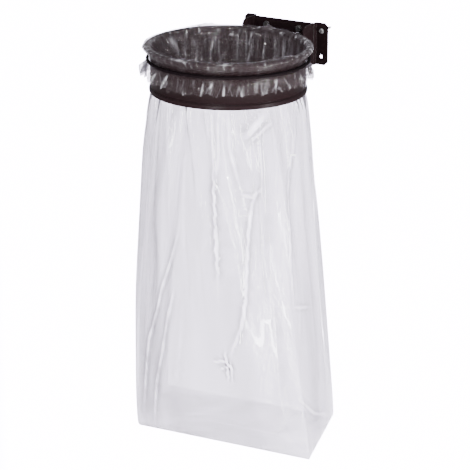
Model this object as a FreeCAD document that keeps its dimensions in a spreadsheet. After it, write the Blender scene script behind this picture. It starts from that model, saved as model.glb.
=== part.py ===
"""A bin bag holder for a wall: a steel ring on a bracket, with a film bag held over its rim by a rubber belt.

The frame is the holder's own, in millimetres: the origin lies on the wall, midway between the two upper wall
screws, +X is to the right as one faces the wall, +Y goes into the wall and +Z is up.
"""

import FreeCAD, Part

import math
import os

import Sketcher

# Driving sizes, in millimetres unless the name says otherwise
SIZES = {
    # Wall plate: a hat section folded from sheet, with a flange on each side of a raised panel
    "plate_width": 234.0,
    "plate_height": 105.0,
    "plate_sheet": 2.5,
    "panel_width": 170.0,
    "plate_standoff": 15.5,
    "plate_bend_radius": 2.5,
    "flange_corner": 8.5,
    "wall_hole_radius": 4.25,
    "wall_hole_pitch_x": 198.0,
    "wall_hole_pitch_z": 64.0,
    "screw_line_drop": 20.0,
    # Ring bracket: a web bolted on the panel and two arms that run forward to the ring
    "bracket_sheet": 3.0,
    "bracket_bend_radius": 3.0,
    "arm_reach": 70.0,
    "arm_corner_radius": 15.0,
    "arm_throat_radius": 12.0,
    "foot_height": 20.0,
    "web_relief_width": 64.0,
    "web_relief_depth": 3.5,
    "bolt_pitch_x": 90.0,
    "bolt_drop": 17.0,
    "bolt_hole_radius": 4.5,
    # Ring: a rolled strip with a lip turned out at the top and a folded hem at the bottom
    "ring_reach": 280.0,
    "ring_bore_radius": 183.5,
    "ring_sheet": 1.5,
    "ring_height": 112.0,
    "lip_radius": 8.0,
    "hem_height": 12.0,
    "hem_gap": 2.0,
    "hem_chamfer": 1.2,
    # Weld beads between the arms' feet and the ring
    "weld_radius": 3.0,
    "weld_margin": 1.5,
    # Rubber belt
    "belt_section_radius": 4.0,
    "belt_drop": 34.0,
    "belt_clearance": 0.2,
    # Film bag
    "film_gauge": 0.8,
    "film_clearance": 0.9,
    "film_flat_width": 724.0,
    "pleat_columns": 40,
    "pouch_drop": 962.0,
    "pouch_front": 462.0,
    "pouch_side": 268.0,
    "pouch_shift_x": 20.0,
    "pouch_shift_y": 13.0,
    "pouch_turn_deg": 4.2,
    "pouch_skew_deg": 11.9,
    "pouch_spread_power": 0.9,
    "pouch_bulge": 12.5,
    "pouch_bulge_power": 0.35,
    "pouch_shift_power": 2.2,
    "pleat_start": 60.0,
    "skirt_drop": 82.0,
    "skirt_lift": 18.0,
    "skirt_lift_power": 3.0,
    "skirt_flare": 9.0,
    # Bolts, washers and nuts of the bracket
    "bolt_radius": 4.0,
    "bolt_length": 16.0,
    "bolt_flats": 13.0,
    "bolt_head_height": 5.3,
    "washer_radius": 8.0,
    "washer_thickness": 1.6,
    "washer_clearance": 0.4,
    "nut_height": 6.5,
    "thread_clearance": 0.05,
    # Wall screws
    "screw_radius": 3.0,
    "screw_length": 50.0,
    "screw_point": 8.0,
    "screw_tip_radius": 0.4,
    "screw_head_radius": 6.5,
    "screw_head_height": 3.8,
    "screw_crown_height": 1.6,
    "screw_crown_radius": 4.6,
    "recess_width": 1.4,
    "recess_span": 6.4,
    "recess_depth": 2.0,
}

# Places that several pieces share, as expressions of the sheet
PLATE_BOTTOM = "Sizes.screw_line_drop - Sizes.plate_height"
WEB_FRONT = "(Sizes.plate_standoff + Sizes.bracket_sheet)"
RING_OUTER = "(Sizes.ring_bore_radius + Sizes.ring_sheet)"
RING_BOTTOM = f"({PLATE_BOTTOM} - Sizes.hem_gap - Sizes.hem_height)"
RIM_RISE = f"({RING_BOTTOM} + Sizes.ring_height)"
ARM_SIDE = "Sizes.panel_width / 2"
BOLT_ROWS = ("Sizes.bolt_drop", "(Sizes.plate_height - Sizes.bolt_drop)")
SIDES = (("left", -1), ("right", 1))
LIP_STEPS = 4
BELT_STEPS = 8
ALONG_Y = FreeCAD.Rotation(FreeCAD.Vector(1, 0, 0), -90)

# Where the film's rings of points lie: shares of the skirt, of the pouch below the ring, and of the lip's half turn
SKIRT_SHARES = (1.0, 0.7, 0.35, 0.0)
POUCH_SHARES = (0.0, 0.12, 0.28, 0.46, 0.64, 0.82, 0.95)
LIP_SHARES = (0.0, 0.25, 0.5, 0.75, 1.0)


def vector(x, y, z=0.0):
    """A point or direction."""
    return FreeCAD.Vector(x, y, z)


def make_sheet(doc):
    """The spreadsheet that holds every driving size under its own alias."""
    sheet = doc.addObject("Spreadsheet::Sheet", "Sizes")
    for row, (alias, value) in enumerate(SIZES.items(), start=1):
        sheet.set(f"A{row}", alias.replace("_", " "))
        sheet.set(f"B{row}", str(value))
        sheet.setAlias(f"B{row}", alias)
    doc.recompute()
    return sheet


def bind(item, **expressions):
    """Tie properties of an object to expressions of the sheet."""
    for name, expression in expressions.items():
        item.setExpression(name, expression)
    return item


def place(item, x="0", y="0", z="0", turn=None):
    """Put an object at a place given by expressions, turned if asked."""
    if turn is not None:
        item.Placement = FreeCAD.Placement(vector(0, 0), turn)
    for axis, expression in zip("xyz", (x, y, z)):
        item.setExpression(f"Placement.Base.{axis}", expression)
    return item


def new_body(doc, name, y="0", z="0"):
    """An empty body at its place in the holder's frame."""
    body = doc.addObject("PartDesign::Body", name)
    body.Label = name
    return place(body, y=y, z=z)


def new_sketch(body, name, role):
    """An empty sketch on one of the body's origin planes."""
    sketch = body.newObject("Sketcher::SketchObject", name)
    plane = next(item for item in body.Origin.OriginFeatures if item.Role == role)
    sketch.AttachmentSupport = (plane, [""])
    sketch.MapMode = "FlatFace"
    return sketch


def hold_point(sketch, edge, end, x, y):
    """Hold one point of a sketch at two expressions, measured from the origin."""
    for kind, expression in (("DistanceX", x), ("DistanceY", y)):
        value = float(sketch.evalExpression(expression))
        index = sketch.addConstraint(Sketcher.Constraint(kind, -1, 1, edge, end, value))
        sketch.setExpression(f"Constraints[{index}]", expression)


def draw_outline(sketch, corners):
    """Draw a closed outline of straight edges through corners given as expressions."""
    points = [vector(float(sketch.evalExpression(x)), float(sketch.evalExpression(y))) for x, y in corners]
    for index, start in enumerate(points):
        sketch.addGeometry(Part.LineSegment(start, points[(index + 1) % len(points)]), False)
    for index in range(len(points)):
        sketch.addConstraint(Sketcher.Constraint("Coincident", index, 2, (index + 1) % len(points), 1))
    for index, (x, y) in enumerate(corners):
        hold_point(sketch, index, 1, x, y)
    return sketch


def arc_corners(x, y, radius, first, last, steps):
    """Corners of an outline along an arc, from one angle to another in degrees, as expressions."""
    turns = [first + (last - first) * step / steps for step in range(steps + 1)]
    return [(f"{x} + {radius} * cos({turn} deg)", f"{y} + {radius} * sin({turn} deg)") for turn in turns]


def turn_section(body, name, corners):
    """Turn a closed section, drawn beside the body's axis, once round it."""
    section = draw_outline(new_sketch(body, f"{name}_section", "XZ_Plane"), corners)
    turned = body.newObject("PartDesign::Revolution", f"{name}_turned")
    turned.Profile = section
    turned.ReferenceAxis = (section, ["V_Axis"])
    turned.Angle = 360
    section.Document.recompute()
    return turned


def draw_circles(sketch, centres, radius):
    """Draw equal circles about centres given as expressions."""
    for x, y in centres:
        middle = vector(float(sketch.evalExpression(x)), float(sketch.evalExpression(y)))
        reach = float(sketch.evalExpression(radius))
        edge = sketch.addGeometry(Part.Circle(middle, vector(0, 0, 1), reach), False)
        hold_point(sketch, edge, 3, x, y)
        index = sketch.addConstraint(Sketcher.Constraint("Radius", edge, reach))
        sketch.setExpression(f"Constraints[{index}]", radius)
    return sketch


def pad(body, name, sketch, length):
    """Pad a sketch to a length given as an expression."""
    feature = body.newObject("PartDesign::Pad", name)
    feature.Profile = sketch
    bind(feature, Length=length)
    sketch.Document.recompute()
    return feature


def cut_through(body, name, sketch):
    """Cut a sketch right through the body, both ways from its plane."""
    feature = body.newObject("PartDesign::Pocket", name)
    feature.Profile = sketch
    feature.Type = "ThroughAll"
    feature.SideType = "Symmetric"
    sketch.Document.recompute()
    return feature


def edges_at(shape, along, places):
    """Names of the straight edges that run along an axis and pass through one of the places.

    A place holds the two coordinates across that axis, in the order X, Y, Z.
    """
    near = 0.01
    across = [axis for axis in "xyz" if axis != along]
    names = []
    for number, edge in enumerate(shape.Edges, start=1):
        first, last = edge.Vertexes[0].Point, edge.Vertexes[-1].Point
        if abs(getattr(last - first, along)) < near:
            continue
        for spot in places:
            gaps = [abs(getattr(point, axis) - value) for point in (first, last) for axis, value in zip(across, spot)]
            if max(gaps) < near:
                names.append(f"Edge{number}")
    return names


def dress(body, kind, name, base, along, places, **expressions):
    """Fillet or chamfer the edges of a feature that run along an axis at the given places."""
    feature = body.newObject(kind, name)
    feature.Base = (base, edges_at(base.Shape, along, places))
    bind(feature, **expressions)
    base.Document.recompute()
    return feature


def size(sheet, alias):
    """A driving size as a number."""
    return float(sheet.get(alias))


def make_wall_plate(doc, sheet):
    """The hat-section plate: two flanges on the wall, two legs and a raised panel."""
    body = new_body(doc, "wall_plate", z=PLATE_BOTTOM)
    half, panel = "Sizes.plate_width / 2", "Sizes.panel_width / 2"
    inner = "(Sizes.panel_width / 2 - Sizes.plate_sheet)"
    front, back = "-Sizes.plate_standoff", "Sizes.plate_sheet - Sizes.plate_standoff"
    section = new_sketch(body, "plate_section", "XY_Plane")
    corners = [
        (f"-{half}", "0"), (f"-{inner}", "0"), (f"-{inner}", back), (inner, back), (inner, "0"), (half, "0"),
        (half, "-Sizes.plate_sheet"), (panel, "-Sizes.plate_sheet"), (panel, front), (f"-{panel}", front),
        (f"-{panel}", "-Sizes.plate_sheet"), (f"-{half}", "-Sizes.plate_sheet"),
    ]
    draw_outline(section, corners)
    feature = pad(body, "plate_pad", section, "Sizes.plate_height")

    outer_x = size(sheet, "panel_width") / 2
    sheet_gauge, standoff = size(sheet, "plate_sheet"), size(sheet, "plate_standoff")
    inner_x = outer_x - sheet_gauge
    tight = [(side * inner_x, sheet_gauge - standoff) for _, side in SIDES]
    tight += [(side * outer_x, -sheet_gauge) for _, side in SIDES]
    wide = [(side * inner_x, 0.0) for _, side in SIDES] + [(side * outer_x, -standoff) for _, side in SIDES]
    feature = dress(body, "PartDesign::Fillet", "plate_inner_bends", feature, "z", tight,
                    Radius="Sizes.plate_bend_radius")
    feature = dress(body, "PartDesign::Fillet", "plate_outer_bends", feature, "z", wide,
                    Radius="Sizes.plate_bend_radius + Sizes.plate_sheet")
    flange_x, height = size(sheet, "plate_width") / 2, size(sheet, "plate_height")
    flange_corners = [(side * flange_x, level) for _, side in SIDES for level in (0.0, height)]
    dress(body, "PartDesign::Chamfer", "flange_corners", feature, "y", flange_corners, Size="Sizes.flange_corner")

    upper = "(Sizes.plate_height - Sizes.screw_line_drop)"
    holes = [(f"{side} * Sizes.wall_hole_pitch_x / 2", level)
             for _, side in SIDES for level in (upper, f"{upper} - Sizes.wall_hole_pitch_z")]
    wall_holes = draw_circles(new_sketch(body, "wall_holes", "XZ_Plane"), holes, "Sizes.wall_hole_radius")
    cut_through(body, "wall_hole_cut", wall_holes)
    bolt_holes = draw_circles(new_sketch(body, "plate_bolt_holes", "XZ_Plane"), bolt_places(),
                              "Sizes.bolt_hole_radius")
    cut_through(body, "plate_bolt_cut", bolt_holes)
    return body


def bolt_places():
    """The four bolt positions across the web, as expressions from the plate's lower edge."""
    return [(f"{side} * Sizes.bolt_pitch_x / 2", level) for _, side in SIDES for level in BOLT_ROWS]


def make_ring_bracket(doc, sheet):
    """The folded U: its web lies on the panel and its arms are cut to the ring's curve."""
    body = new_body(doc, "ring_bracket", z=PLATE_BOTTOM)
    outer, inner = f"{ARM_SIDE}", f"({ARM_SIDE} - Sizes.bracket_sheet)"
    back, front, end = "-Sizes.plate_standoff", f"-{WEB_FRONT}", "-Sizes.ring_reach + Sizes.ring_bore_radius / 2"
    section = new_sketch(body, "bracket_section", "XY_Plane")
    corners = [
        (f"-{outer}", back), (f"-{outer}", end), (f"-{inner}", end), (f"-{inner}", front),
        (inner, front), (inner, end), (outer, end), (outer, back),
    ]
    draw_outline(section, corners)
    feature = pad(body, "bracket_pad", section, "Sizes.plate_height")

    outer_x, gauge = size(sheet, "panel_width") / 2, size(sheet, "bracket_sheet")
    standoff = size(sheet, "plate_standoff")
    feature = dress(body, "PartDesign::Fillet", "bracket_inner_bends", feature, "z",
                    [(side * (outer_x - gauge), -standoff - gauge) for _, side in SIDES],
                    Radius="Sizes.bracket_bend_radius")
    feature = dress(body, "PartDesign::Fillet", "bracket_outer_bends", feature, "z",
                    [(side * outer_x, -standoff) for _, side in SIDES],
                    Radius="Sizes.bracket_bend_radius + Sizes.bracket_sheet")

    seat = draw_circles(new_sketch(body, "ring_seat", "XY_Plane"), [("0", "-Sizes.ring_reach")], RING_OUTER)
    cut_through(body, "ring_seat_cut", seat)
    room = new_sketch(body, "skirt_room", "YZ_Plane")
    top = "Sizes.plate_height + Sizes.arm_corner_radius"
    draw_outline(room, [("-Sizes.arm_reach", "Sizes.foot_height"), ("-Sizes.arm_reach", top),
                        ("-Sizes.ring_reach", top), ("-Sizes.ring_reach", "Sizes.foot_height")])
    feature = cut_through(body, "skirt_room_cut", room)
    reach, height, foot = (size(sheet, name) for name in ("arm_reach", "plate_height", "foot_height"))
    feature = dress(body, "PartDesign::Fillet", "arm_corners", feature, "x", [(-reach, height)],
                    Radius="Sizes.arm_corner_radius")
    dress(body, "PartDesign::Fillet", "arm_throats", feature, "x", [(-reach, foot)],
          Radius="Sizes.arm_throat_radius")

    relief = new_sketch(body, "web_relief", "XZ_Plane")
    side, low = "Sizes.web_relief_width / 2", "Sizes.plate_height - Sizes.web_relief_depth"
    high = "Sizes.plate_height + Sizes.web_relief_depth"
    draw_outline(relief, [(f"-{side}", low), (side, low), (side, high), (f"-{side}", high)])
    cut_through(body, "web_relief_cut", relief)
    holes = draw_circles(new_sketch(body, "web_holes", "XZ_Plane"), bolt_places(), "Sizes.bolt_hole_radius")
    cut_through(body, "web_hole_cut", holes)
    return body


def make_ring(doc):
    """The ring, turned from the section of its strip: hem, wall and a lip that turns outwards and down."""
    body = new_body(doc, "ring", y="-Sizes.ring_reach", z=RING_BOTTOM)
    bore, wall, hem = "Sizes.ring_bore_radius", RING_OUTER, f"{RING_OUTER} + Sizes.ring_sheet"
    crown, spring = f"({bore} + Sizes.lip_radius)", "(Sizes.ring_height - Sizes.lip_radius)"
    chamfer = "Sizes.hem_chamfer"
    corners = [(bore, "0")]
    corners += arc_corners(crown, spring, "Sizes.lip_radius", 180, 0, LIP_STEPS)
    corners += arc_corners(crown, spring, "(Sizes.lip_radius - Sizes.ring_sheet)", 0, 180, LIP_STEPS)
    corners += [(wall, "Sizes.hem_height"), (hem, "Sizes.hem_height"), (hem, chamfer), (f"{hem} - {chamfer}", "0")]
    turn_section(body, "ring", corners)
    return body


def make_belt(doc):
    """The rubber belt that clamps the film on the ring's wall, under the lip."""
    body = new_body(doc, "belt", y="-Sizes.ring_reach", z=f"{RIM_RISE} - Sizes.belt_drop")
    film = "Sizes.film_clearance + Sizes.film_gauge + Sizes.belt_clearance"
    centre = f"({RING_OUTER} + {film} + Sizes.belt_section_radius)"
    half_step = 180 / BELT_STEPS
    corners = arc_corners(centre, "0", "Sizes.belt_section_radius", half_step, 360 - half_step, BELT_STEPS - 1)
    turn_section(body, "belt", corners)
    return body


def add_cylinder(doc, name, radius, length):
    """A cylinder whose sizes are expressions."""
    return bind(doc.addObject("Part::Cylinder", name), Radius=radius, Height=length)


def subtract(doc, name, base, tool):
    """Cut one object from another."""
    result = doc.addObject("Part::Cut", name)
    result.Base, result.Tool = base, tool
    return result


def join(doc, name, pieces):
    """Join solids into one."""
    result = doc.addObject("Part::MultiFuse", name)
    result.Shapes = pieces
    return result


def gather(doc, name, pieces):
    """Keep like pieces together under one label, as separate solids."""
    group = doc.addObject("Part::Compound", name)
    group.Links = pieces
    group.Label = name
    return group


def make_arm_welds(doc):
    """Four weld beads, one on each face of each arm where its foot meets the ring."""
    height = "Sizes.foot_height"
    beads = []
    for label, side in SIDES:
        for face, offset in (("outer", ARM_SIDE), ("inner", f"({ARM_SIDE} - Sizes.bracket_sheet)")):
            name = f"{label}_{face}"
            rod = add_cylinder(doc, f"weld_rod_{name}", "Sizes.weld_radius", f"{height} - 2 * Sizes.weld_margin")
            gap = f"sqrt({RING_OUTER} ^ 2 - ({offset}) ^ 2)"
            place(rod, x=f"{side} * {offset}", y=f"{gap} - Sizes.ring_reach", z=f"{PLATE_BOTTOM} + Sizes.weld_margin")
            core = add_cylinder(doc, f"weld_core_{name}", RING_OUTER, height)
            place(core, y="-Sizes.ring_reach", z=PLATE_BOTTOM)
            arm = bind(doc.addObject("Part::Box", f"weld_arm_{name}"), Length="Sizes.bracket_sheet",
                       Width="Sizes.ring_reach", Height=height)
            left = f"-{ARM_SIDE}" if side < 0 else f"{ARM_SIDE} - Sizes.bracket_sheet"
            place(arm, x=left, y="-Sizes.ring_reach", z=PLATE_BOTTOM)
            outside = subtract(doc, f"weld_outside_{name}", rod, core)
            beads.append(subtract(doc, f"weld_bead_{name}", outside, arm))
    return gather(doc, "arm_welds", beads)


def hexagon(doc, name, length):
    """A hexagonal prism across the bolt's flats."""
    prism = doc.addObject("Part::Prism", name)
    prism.Polygon = 6
    return bind(prism, Circumradius="Sizes.bolt_flats / sqrt(3)", Height=length)


def make_bracket_bolts(doc):
    """Four hexagon bolts through the web and the panel, heads to the room."""
    bolts = []
    seat = f"{WEB_FRONT} + Sizes.washer_thickness"
    for number, (x, level) in enumerate(bolt_places(), start=1):
        height = f"{PLATE_BOTTOM} + {level}"
        head = hexagon(doc, f"bolt_hexagon_{number}", "Sizes.bolt_head_height")
        shank = add_cylinder(doc, f"bolt_shank_{number}", "Sizes.bolt_radius", "Sizes.bolt_length")
        place(head, x=x, y=f"-({seat} + Sizes.bolt_head_height)", z=height, turn=ALONG_Y)
        place(shank, x=x, y=f"-({seat})", z=height, turn=ALONG_Y)
        bolts.append(join(doc, f"bolt_{number}", [head, shank]))
    return gather(doc, "bracket_bolts", bolts)


def make_bracket_washers(doc):
    """A flat washer under each bolt head."""
    washers = []
    for number, (x, level) in enumerate(bolt_places(), start=1):
        disc = add_cylinder(doc, f"washer_disc_{number}", "Sizes.washer_radius", "Sizes.washer_thickness")
        bore = add_cylinder(doc, f"washer_bore_{number}", "Sizes.bolt_radius + Sizes.washer_clearance",
                            "Sizes.washer_thickness")
        for piece in (disc, bore):
            place(piece, x=x, y=f"-({WEB_FRONT} + Sizes.washer_thickness)", z=f"{PLATE_BOTTOM} + {level}",
                  turn=ALONG_Y)
        washers.append(subtract(doc, f"washer_{number}", disc, bore))
    return gather(doc, "bracket_washers", washers)


def make_bracket_nuts(doc):
    """A hexagon nut on each bolt, behind the panel."""
    nuts = []
    for number, (x, level) in enumerate(bolt_places(), start=1):
        block = hexagon(doc, f"nut_hexagon_{number}", "Sizes.nut_height")
        bore = add_cylinder(doc, f"nut_bore_{number}", "Sizes.bolt_radius + Sizes.thread_clearance",
                            "Sizes.nut_height")
        for piece in (block, bore):
            place(piece, x=x, y="Sizes.plate_sheet - Sizes.plate_standoff", z=f"{PLATE_BOTTOM} + {level}",
                  turn=ALONG_Y)
        nuts.append(subtract(doc, f"nut_{number}", block, bore))
    return gather(doc, "bracket_nuts", nuts)


def make_wall_screws(doc):
    """Two pan-head screws with a cross recess, in the plate's upper holes."""
    screws = []
    top = "(Sizes.plate_sheet + Sizes.screw_head_height)"
    for label, side in SIDES:
        x = f"{side} * Sizes.wall_hole_pitch_x / 2"
        disc = add_cylinder(doc, f"screw_disc_{label}", "Sizes.screw_head_radius",
                            "Sizes.screw_head_height - Sizes.screw_crown_height")
        crown = bind(doc.addObject("Part::Cone", f"screw_crown_{label}"), Radius1="Sizes.screw_crown_radius",
                     Radius2="Sizes.screw_head_radius", Height="Sizes.screw_crown_height")
        shank = add_cylinder(doc, f"screw_shank_{label}", "Sizes.screw_radius",
                             "Sizes.plate_sheet + Sizes.screw_length - Sizes.screw_point")
        point = bind(doc.addObject("Part::Cone", f"screw_point_{label}"), Radius1="Sizes.screw_radius",
                     Radius2="Sizes.screw_tip_radius", Height="Sizes.screw_point")
        place(disc, x=x, y=f"Sizes.screw_crown_height - {top}", turn=ALONG_Y)
        place(crown, x=x, y=f"-{top}", turn=ALONG_Y)
        place(shank, x=x, y="-Sizes.plate_sheet", turn=ALONG_Y)
        place(point, x=x, y="Sizes.screw_length - Sizes.screw_point", turn=ALONG_Y)
        piece = join(doc, f"screw_blank_{label}", [crown, disc, shank, point])
        for bar, length, height in (("level", "Sizes.recess_span", "Sizes.recess_width"),
                                    ("upright", "Sizes.recess_width", "Sizes.recess_span")):
            slot = bind(doc.addObject("Part::Box", f"screw_{bar}_{label}"), Length=length,
                        Width="Sizes.recess_depth", Height=height)
            place(slot, x=f"{x} - {length} / 2", y=f"-{top}", z=f"-{height} / 2")
            piece = subtract(doc, f"screw_{bar}_cut_{label}", piece, slot)
        screws.append(piece)
    return gather(doc, "wall_screws", screws)


class Film:
    """The bag's film as rings of points, from the skirt's edge over the lip and down to the pouch's floor.

    Heights are measured from the rim's crest and radii from the ring's axis. The film's girth is the same all
    the way down, so what an outline doesn't take up goes into pleats: every second column of points steps in,
    or out on the skirt.
    """

    def __init__(self, sheet):
        self.value = {alias: size(sheet, alias) for alias in SIZES}
        self.columns = int(self.value["pleat_columns"])
        self.turns = [2 * math.pi * index / self.columns for index in range(self.columns)]

    def level_ring(self, radius, height):
        """A plain circle of points at one height."""
        return [vector(radius * math.cos(turn), radius * math.sin(turn), height) for turn in self.turns]

    def pouch_edge(self, share):
        """A point on the pouch's floor outline, a share of the way round from the middle of its right side."""
        value = self.value
        front, side = value["pouch_front"], value["pouch_side"]
        across = math.radians(value["pouch_turn_deg"])
        inwards = across + math.radians(90 + value["pouch_skew_deg"])
        along_front = vector(math.cos(across), math.sin(across)) * (front / 2)
        along_side = vector(math.cos(inwards), math.sin(inwards)) * (side / 2)
        corners = [along_front + along_side, along_side - along_front,
                   (along_front + along_side) * -1, along_front - along_side]
        walk = (share * 2 * (front + side) + side / 2) % (2 * (front + side))
        place_from = corners[-1]
        for corner, length in zip(corners, (side, front, side, front)):
            if walk <= length:
                return place_from + (corner - place_from) * (walk / length)
            walk -= length
            place_from = corner
        return place_from

    def pouch_ring(self, height, pleat):
        """The pouch's outline at a height: a circle in the ring that spreads to the box of the floor."""
        value = self.value
        radius = value["ring_bore_radius"] - value["film_clearance"] - value["film_gauge"] / 2
        free = max(0.0, -height - value["ring_height"]) / (value["pouch_drop"] - value["ring_height"])
        spread = free ** value["pouch_spread_power"]
        middle = vector(value["pouch_shift_x"], value["pouch_shift_y"]) * free ** value["pouch_shift_power"]
        bulge = value["pouch_bulge"] * math.sin(math.pi * min(free, 1.0)) ** value["pouch_bulge_power"]
        outline = []
        for turn in self.turns:
            away = vector(math.cos(turn), math.sin(turn))
            point = away * (radius * (1 - spread) + bulge) + self.pouch_edge(turn / (2 * math.pi)) * spread
            outline.append(vector(point.x, point.y, height) + middle)
        return self.pleated(outline, -pleat, middle)

    def pleated(self, outline, pleat, middle=None):
        """Step every second point of an outline away from its middle, as far as the film's girth asks."""
        centre = middle or vector(0, 0)
        span = 2 * self.value["film_flat_width"] / self.columns
        girth = sum((outline[index - 1] - point).Length for index, point in enumerate(outline))
        depth = pleat * math.sqrt(max(0.0, span ** 2 - (girth / self.columns) ** 2))
        result = []
        for index, point in enumerate(outline):
            away = vector(point.x - centre.x, point.y - centre.y)
            result.append(point + away.normalize() * depth if index % 2 else point)
        return result

    def skirt_ring(self, share):
        """The skirt below the belt: a share of 0 is at the belt and 1 is its free edge, higher at the back."""
        value = self.value
        hug = self.hug_radius()
        top = value["belt_drop"] + value["belt_section_radius"]
        outline = []
        for turn in self.turns:
            lift = value["skirt_lift"] * ((1 + math.sin(turn)) / 2) ** value["skirt_lift_power"]
            height = -(top + share * (value["skirt_drop"] - lift - top))
            radius = hug + share * value["skirt_flare"]
            outline.append(vector(radius * math.cos(turn), radius * math.sin(turn), height))
        return self.pleated(outline, share)

    def hug_radius(self):
        """The radius at which the film lies on the ring's outer wall."""
        value = self.value
        return value["ring_bore_radius"] + value["ring_sheet"] + value["film_clearance"] + value["film_gauge"] / 2

    def stations(self):
        """The film's rings in order, each with the direction of its inner face in the plane through the axis."""
        value = self.value
        lip = value["lip_radius"]
        over = lip + value["film_clearance"] + value["film_gauge"] / 2
        crown = value["ring_bore_radius"] + lip
        hug, belt = self.hug_radius(), value["belt_drop"]
        held = value["belt_section_radius"]
        rings = [(self.skirt_ring(share), (1, 0)) for share in SKIRT_SHARES]
        rings.append((self.level_ring(hug, held - belt), (1, 0)))
        for share in LIP_SHARES:
            out, rise = math.cos(math.pi * share), math.sin(math.pi * share)
            rings.append((self.level_ring(crown + over * out, over * rise - lip), (out, rise)))
        start = value["pleat_start"]
        for height in (start / 2, start):
            rings.append((self.pouch_ring(-height, height / start), (-1, 0)))
        below = value["pouch_drop"] - value["ring_height"]
        for share in POUCH_SHARES:
            rings.append((self.pouch_ring(-value["ring_height"] - share * below, 1 - share), (-1, 0)))
        floor = -value["pouch_drop"] + value["film_gauge"] / 2
        rings.append((self.pouch_ring(floor, 0.0), (-1, 1)))
        return rings

    def face_ring(self, ring, direction, side):
        """One face of the film at a ring: half its gauge to one side of the middle."""
        half = side * self.value["film_gauge"] / 2
        out, rise = direction
        result = []
        for point in ring:
            flat = vector(point.x, point.y).normalize()
            result.append(point + flat * (out * half) + vector(0, 0, rise * half))
        return result

    def solid(self):
        """The film as one closed solid of plane facets, cut along the same diagonals on both of its faces."""
        stations = self.stations()
        inner = [self.face_ring(ring, direction, 1) for ring, direction in stations]
        outer = [self.face_ring(ring, direction, -1) for ring, direction in stations]
        rings = list(reversed(inner)) + outer
        points = [point for ring in rings for point in ring]
        count = self.columns
        facets = []
        for level in range(len(rings) - 1):
            for index in range(count):
                here, beside = level * count + index, level * count + (index + 1) % count
                if level < len(inner):
                    facets.append((here, beside, here + count))
                    facets.append((beside, beside + count, here + count))
                else:
                    facets.append((here, beside, beside + count))
                    facets.append((here, beside + count, here + count))
        for level, flip in ((0, True), (len(rings) - 1, False)):
            ring = rings[level]
            centre = sum(ring, vector(0, 0)) * (1.0 / count)
            points.append(centre)
            hub = len(points) - 1
            for index in range(count):
                here, beside = level * count + index, level * count + (index + 1) % count
                facets.append((here, hub, beside) if flip else (here, beside, hub))
        surface = Part.Shape()
        surface.makeShapeFromMesh((points, facets), 0.001)
        film = Part.Solid(Part.Shell(surface.Faces))
        if film.Volume < 0:
            film.reverse()
        return film


def make_bag(doc, sheet):
    """The film bag: folded over the lip, clamped by the belt, pleated in the ring and open to a box below."""
    bag = doc.addObject("Part::Feature", "bag")
    bag.Label = "bag"
    bag.Shape = Film(sheet).solid()
    place(bag, y="-Sizes.ring_reach", z=RIM_RISE)
    return bag


def check(doc, pieces):
    """Stop if a feature failed or a piece has no sound solid."""
    failed = [item.Name for item in doc.Objects if {"Invalid", "Error"} & set(item.State)]
    if failed:
        raise RuntimeError(f"failed features: {failed}")
    for piece in pieces:
        shape = piece.Shape
        if shape.isNull() or not shape.isValid() or not shape.Solids:
            raise RuntimeError(f"{piece.Label} has no sound shape")


def main():
    """Build the holder, check it and write one file for each piece."""
    doc = FreeCAD.newDocument("BagHolder")
    sheet = make_sheet(doc)
    pieces = [
        make_wall_plate(doc, sheet),
        make_ring_bracket(doc, sheet),
        make_ring(doc),
        make_arm_welds(doc),
        make_belt(doc),
        make_bag(doc, sheet),
        make_bracket_bolts(doc),
        make_bracket_washers(doc),
        make_bracket_nuts(doc),
        make_wall_screws(doc),
    ]
    doc.recompute()
    check(doc, pieces)
    os.makedirs("parts", exist_ok=True)
    for piece in pieces:
        piece.Shape.exportStep(f"parts/{piece.Label}.step")
        print(f"{piece.Label}: {len(piece.Shape.Solids)} solids, {piece.Shape.Volume / 1000:.2f} cm3")


main()
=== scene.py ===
"""Dresses the wall-mounted bin bag holder: painted steel, zinc fasteners, a rubber belt and a clear film bag.

Everything is in metres in the holder's own frame: the origin lies on the wall between the two upper wall
screws, +X is to the right as one faces the wall, +Y goes into the wall and +Z is up.
"""

from __future__ import annotations

import logging
import math
from collections.abc import Sequence
from dataclasses import dataclass, field
from enum import Enum

import bmesh
import bpy
import numpy as np
from mathutils import Matrix, Vector

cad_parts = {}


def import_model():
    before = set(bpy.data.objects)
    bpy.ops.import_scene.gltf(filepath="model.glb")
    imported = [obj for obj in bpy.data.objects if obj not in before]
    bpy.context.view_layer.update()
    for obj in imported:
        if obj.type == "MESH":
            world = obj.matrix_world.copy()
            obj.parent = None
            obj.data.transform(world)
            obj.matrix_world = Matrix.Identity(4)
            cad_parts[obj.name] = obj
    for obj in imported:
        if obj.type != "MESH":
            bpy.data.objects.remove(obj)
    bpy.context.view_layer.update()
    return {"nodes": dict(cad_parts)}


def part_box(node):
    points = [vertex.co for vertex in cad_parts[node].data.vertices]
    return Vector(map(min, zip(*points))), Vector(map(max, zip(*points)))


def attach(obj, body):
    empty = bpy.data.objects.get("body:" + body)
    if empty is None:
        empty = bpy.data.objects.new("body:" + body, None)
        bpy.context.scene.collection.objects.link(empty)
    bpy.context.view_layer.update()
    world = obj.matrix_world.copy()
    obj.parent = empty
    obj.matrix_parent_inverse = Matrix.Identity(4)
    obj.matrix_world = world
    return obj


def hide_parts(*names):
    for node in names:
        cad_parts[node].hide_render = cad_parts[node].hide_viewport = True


LOG = logging.getLogger("bag_holder")
ROOT = "root"
MERGE_DISTANCE = 0.00001
CAMERA_BEARING = 30.305
FOCUS_DROP = 0.45
Colour = tuple[float, float, float]
Triple = tuple[float, float, float]
Pair = tuple[float, float]
Numbers = np.ndarray
# A darker copy of the zinc for the bracket's bolts, washers and nuts: painted shade, for their place in
# shade.
SHADED_ZINC_COLOUR: Colour = (0.24, 0.235, 0.235)
SHADED_ZINC_STAIN: Colour = (0.13, 0.125, 0.125)
DARK_ROUGHNESS = 0.30


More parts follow.
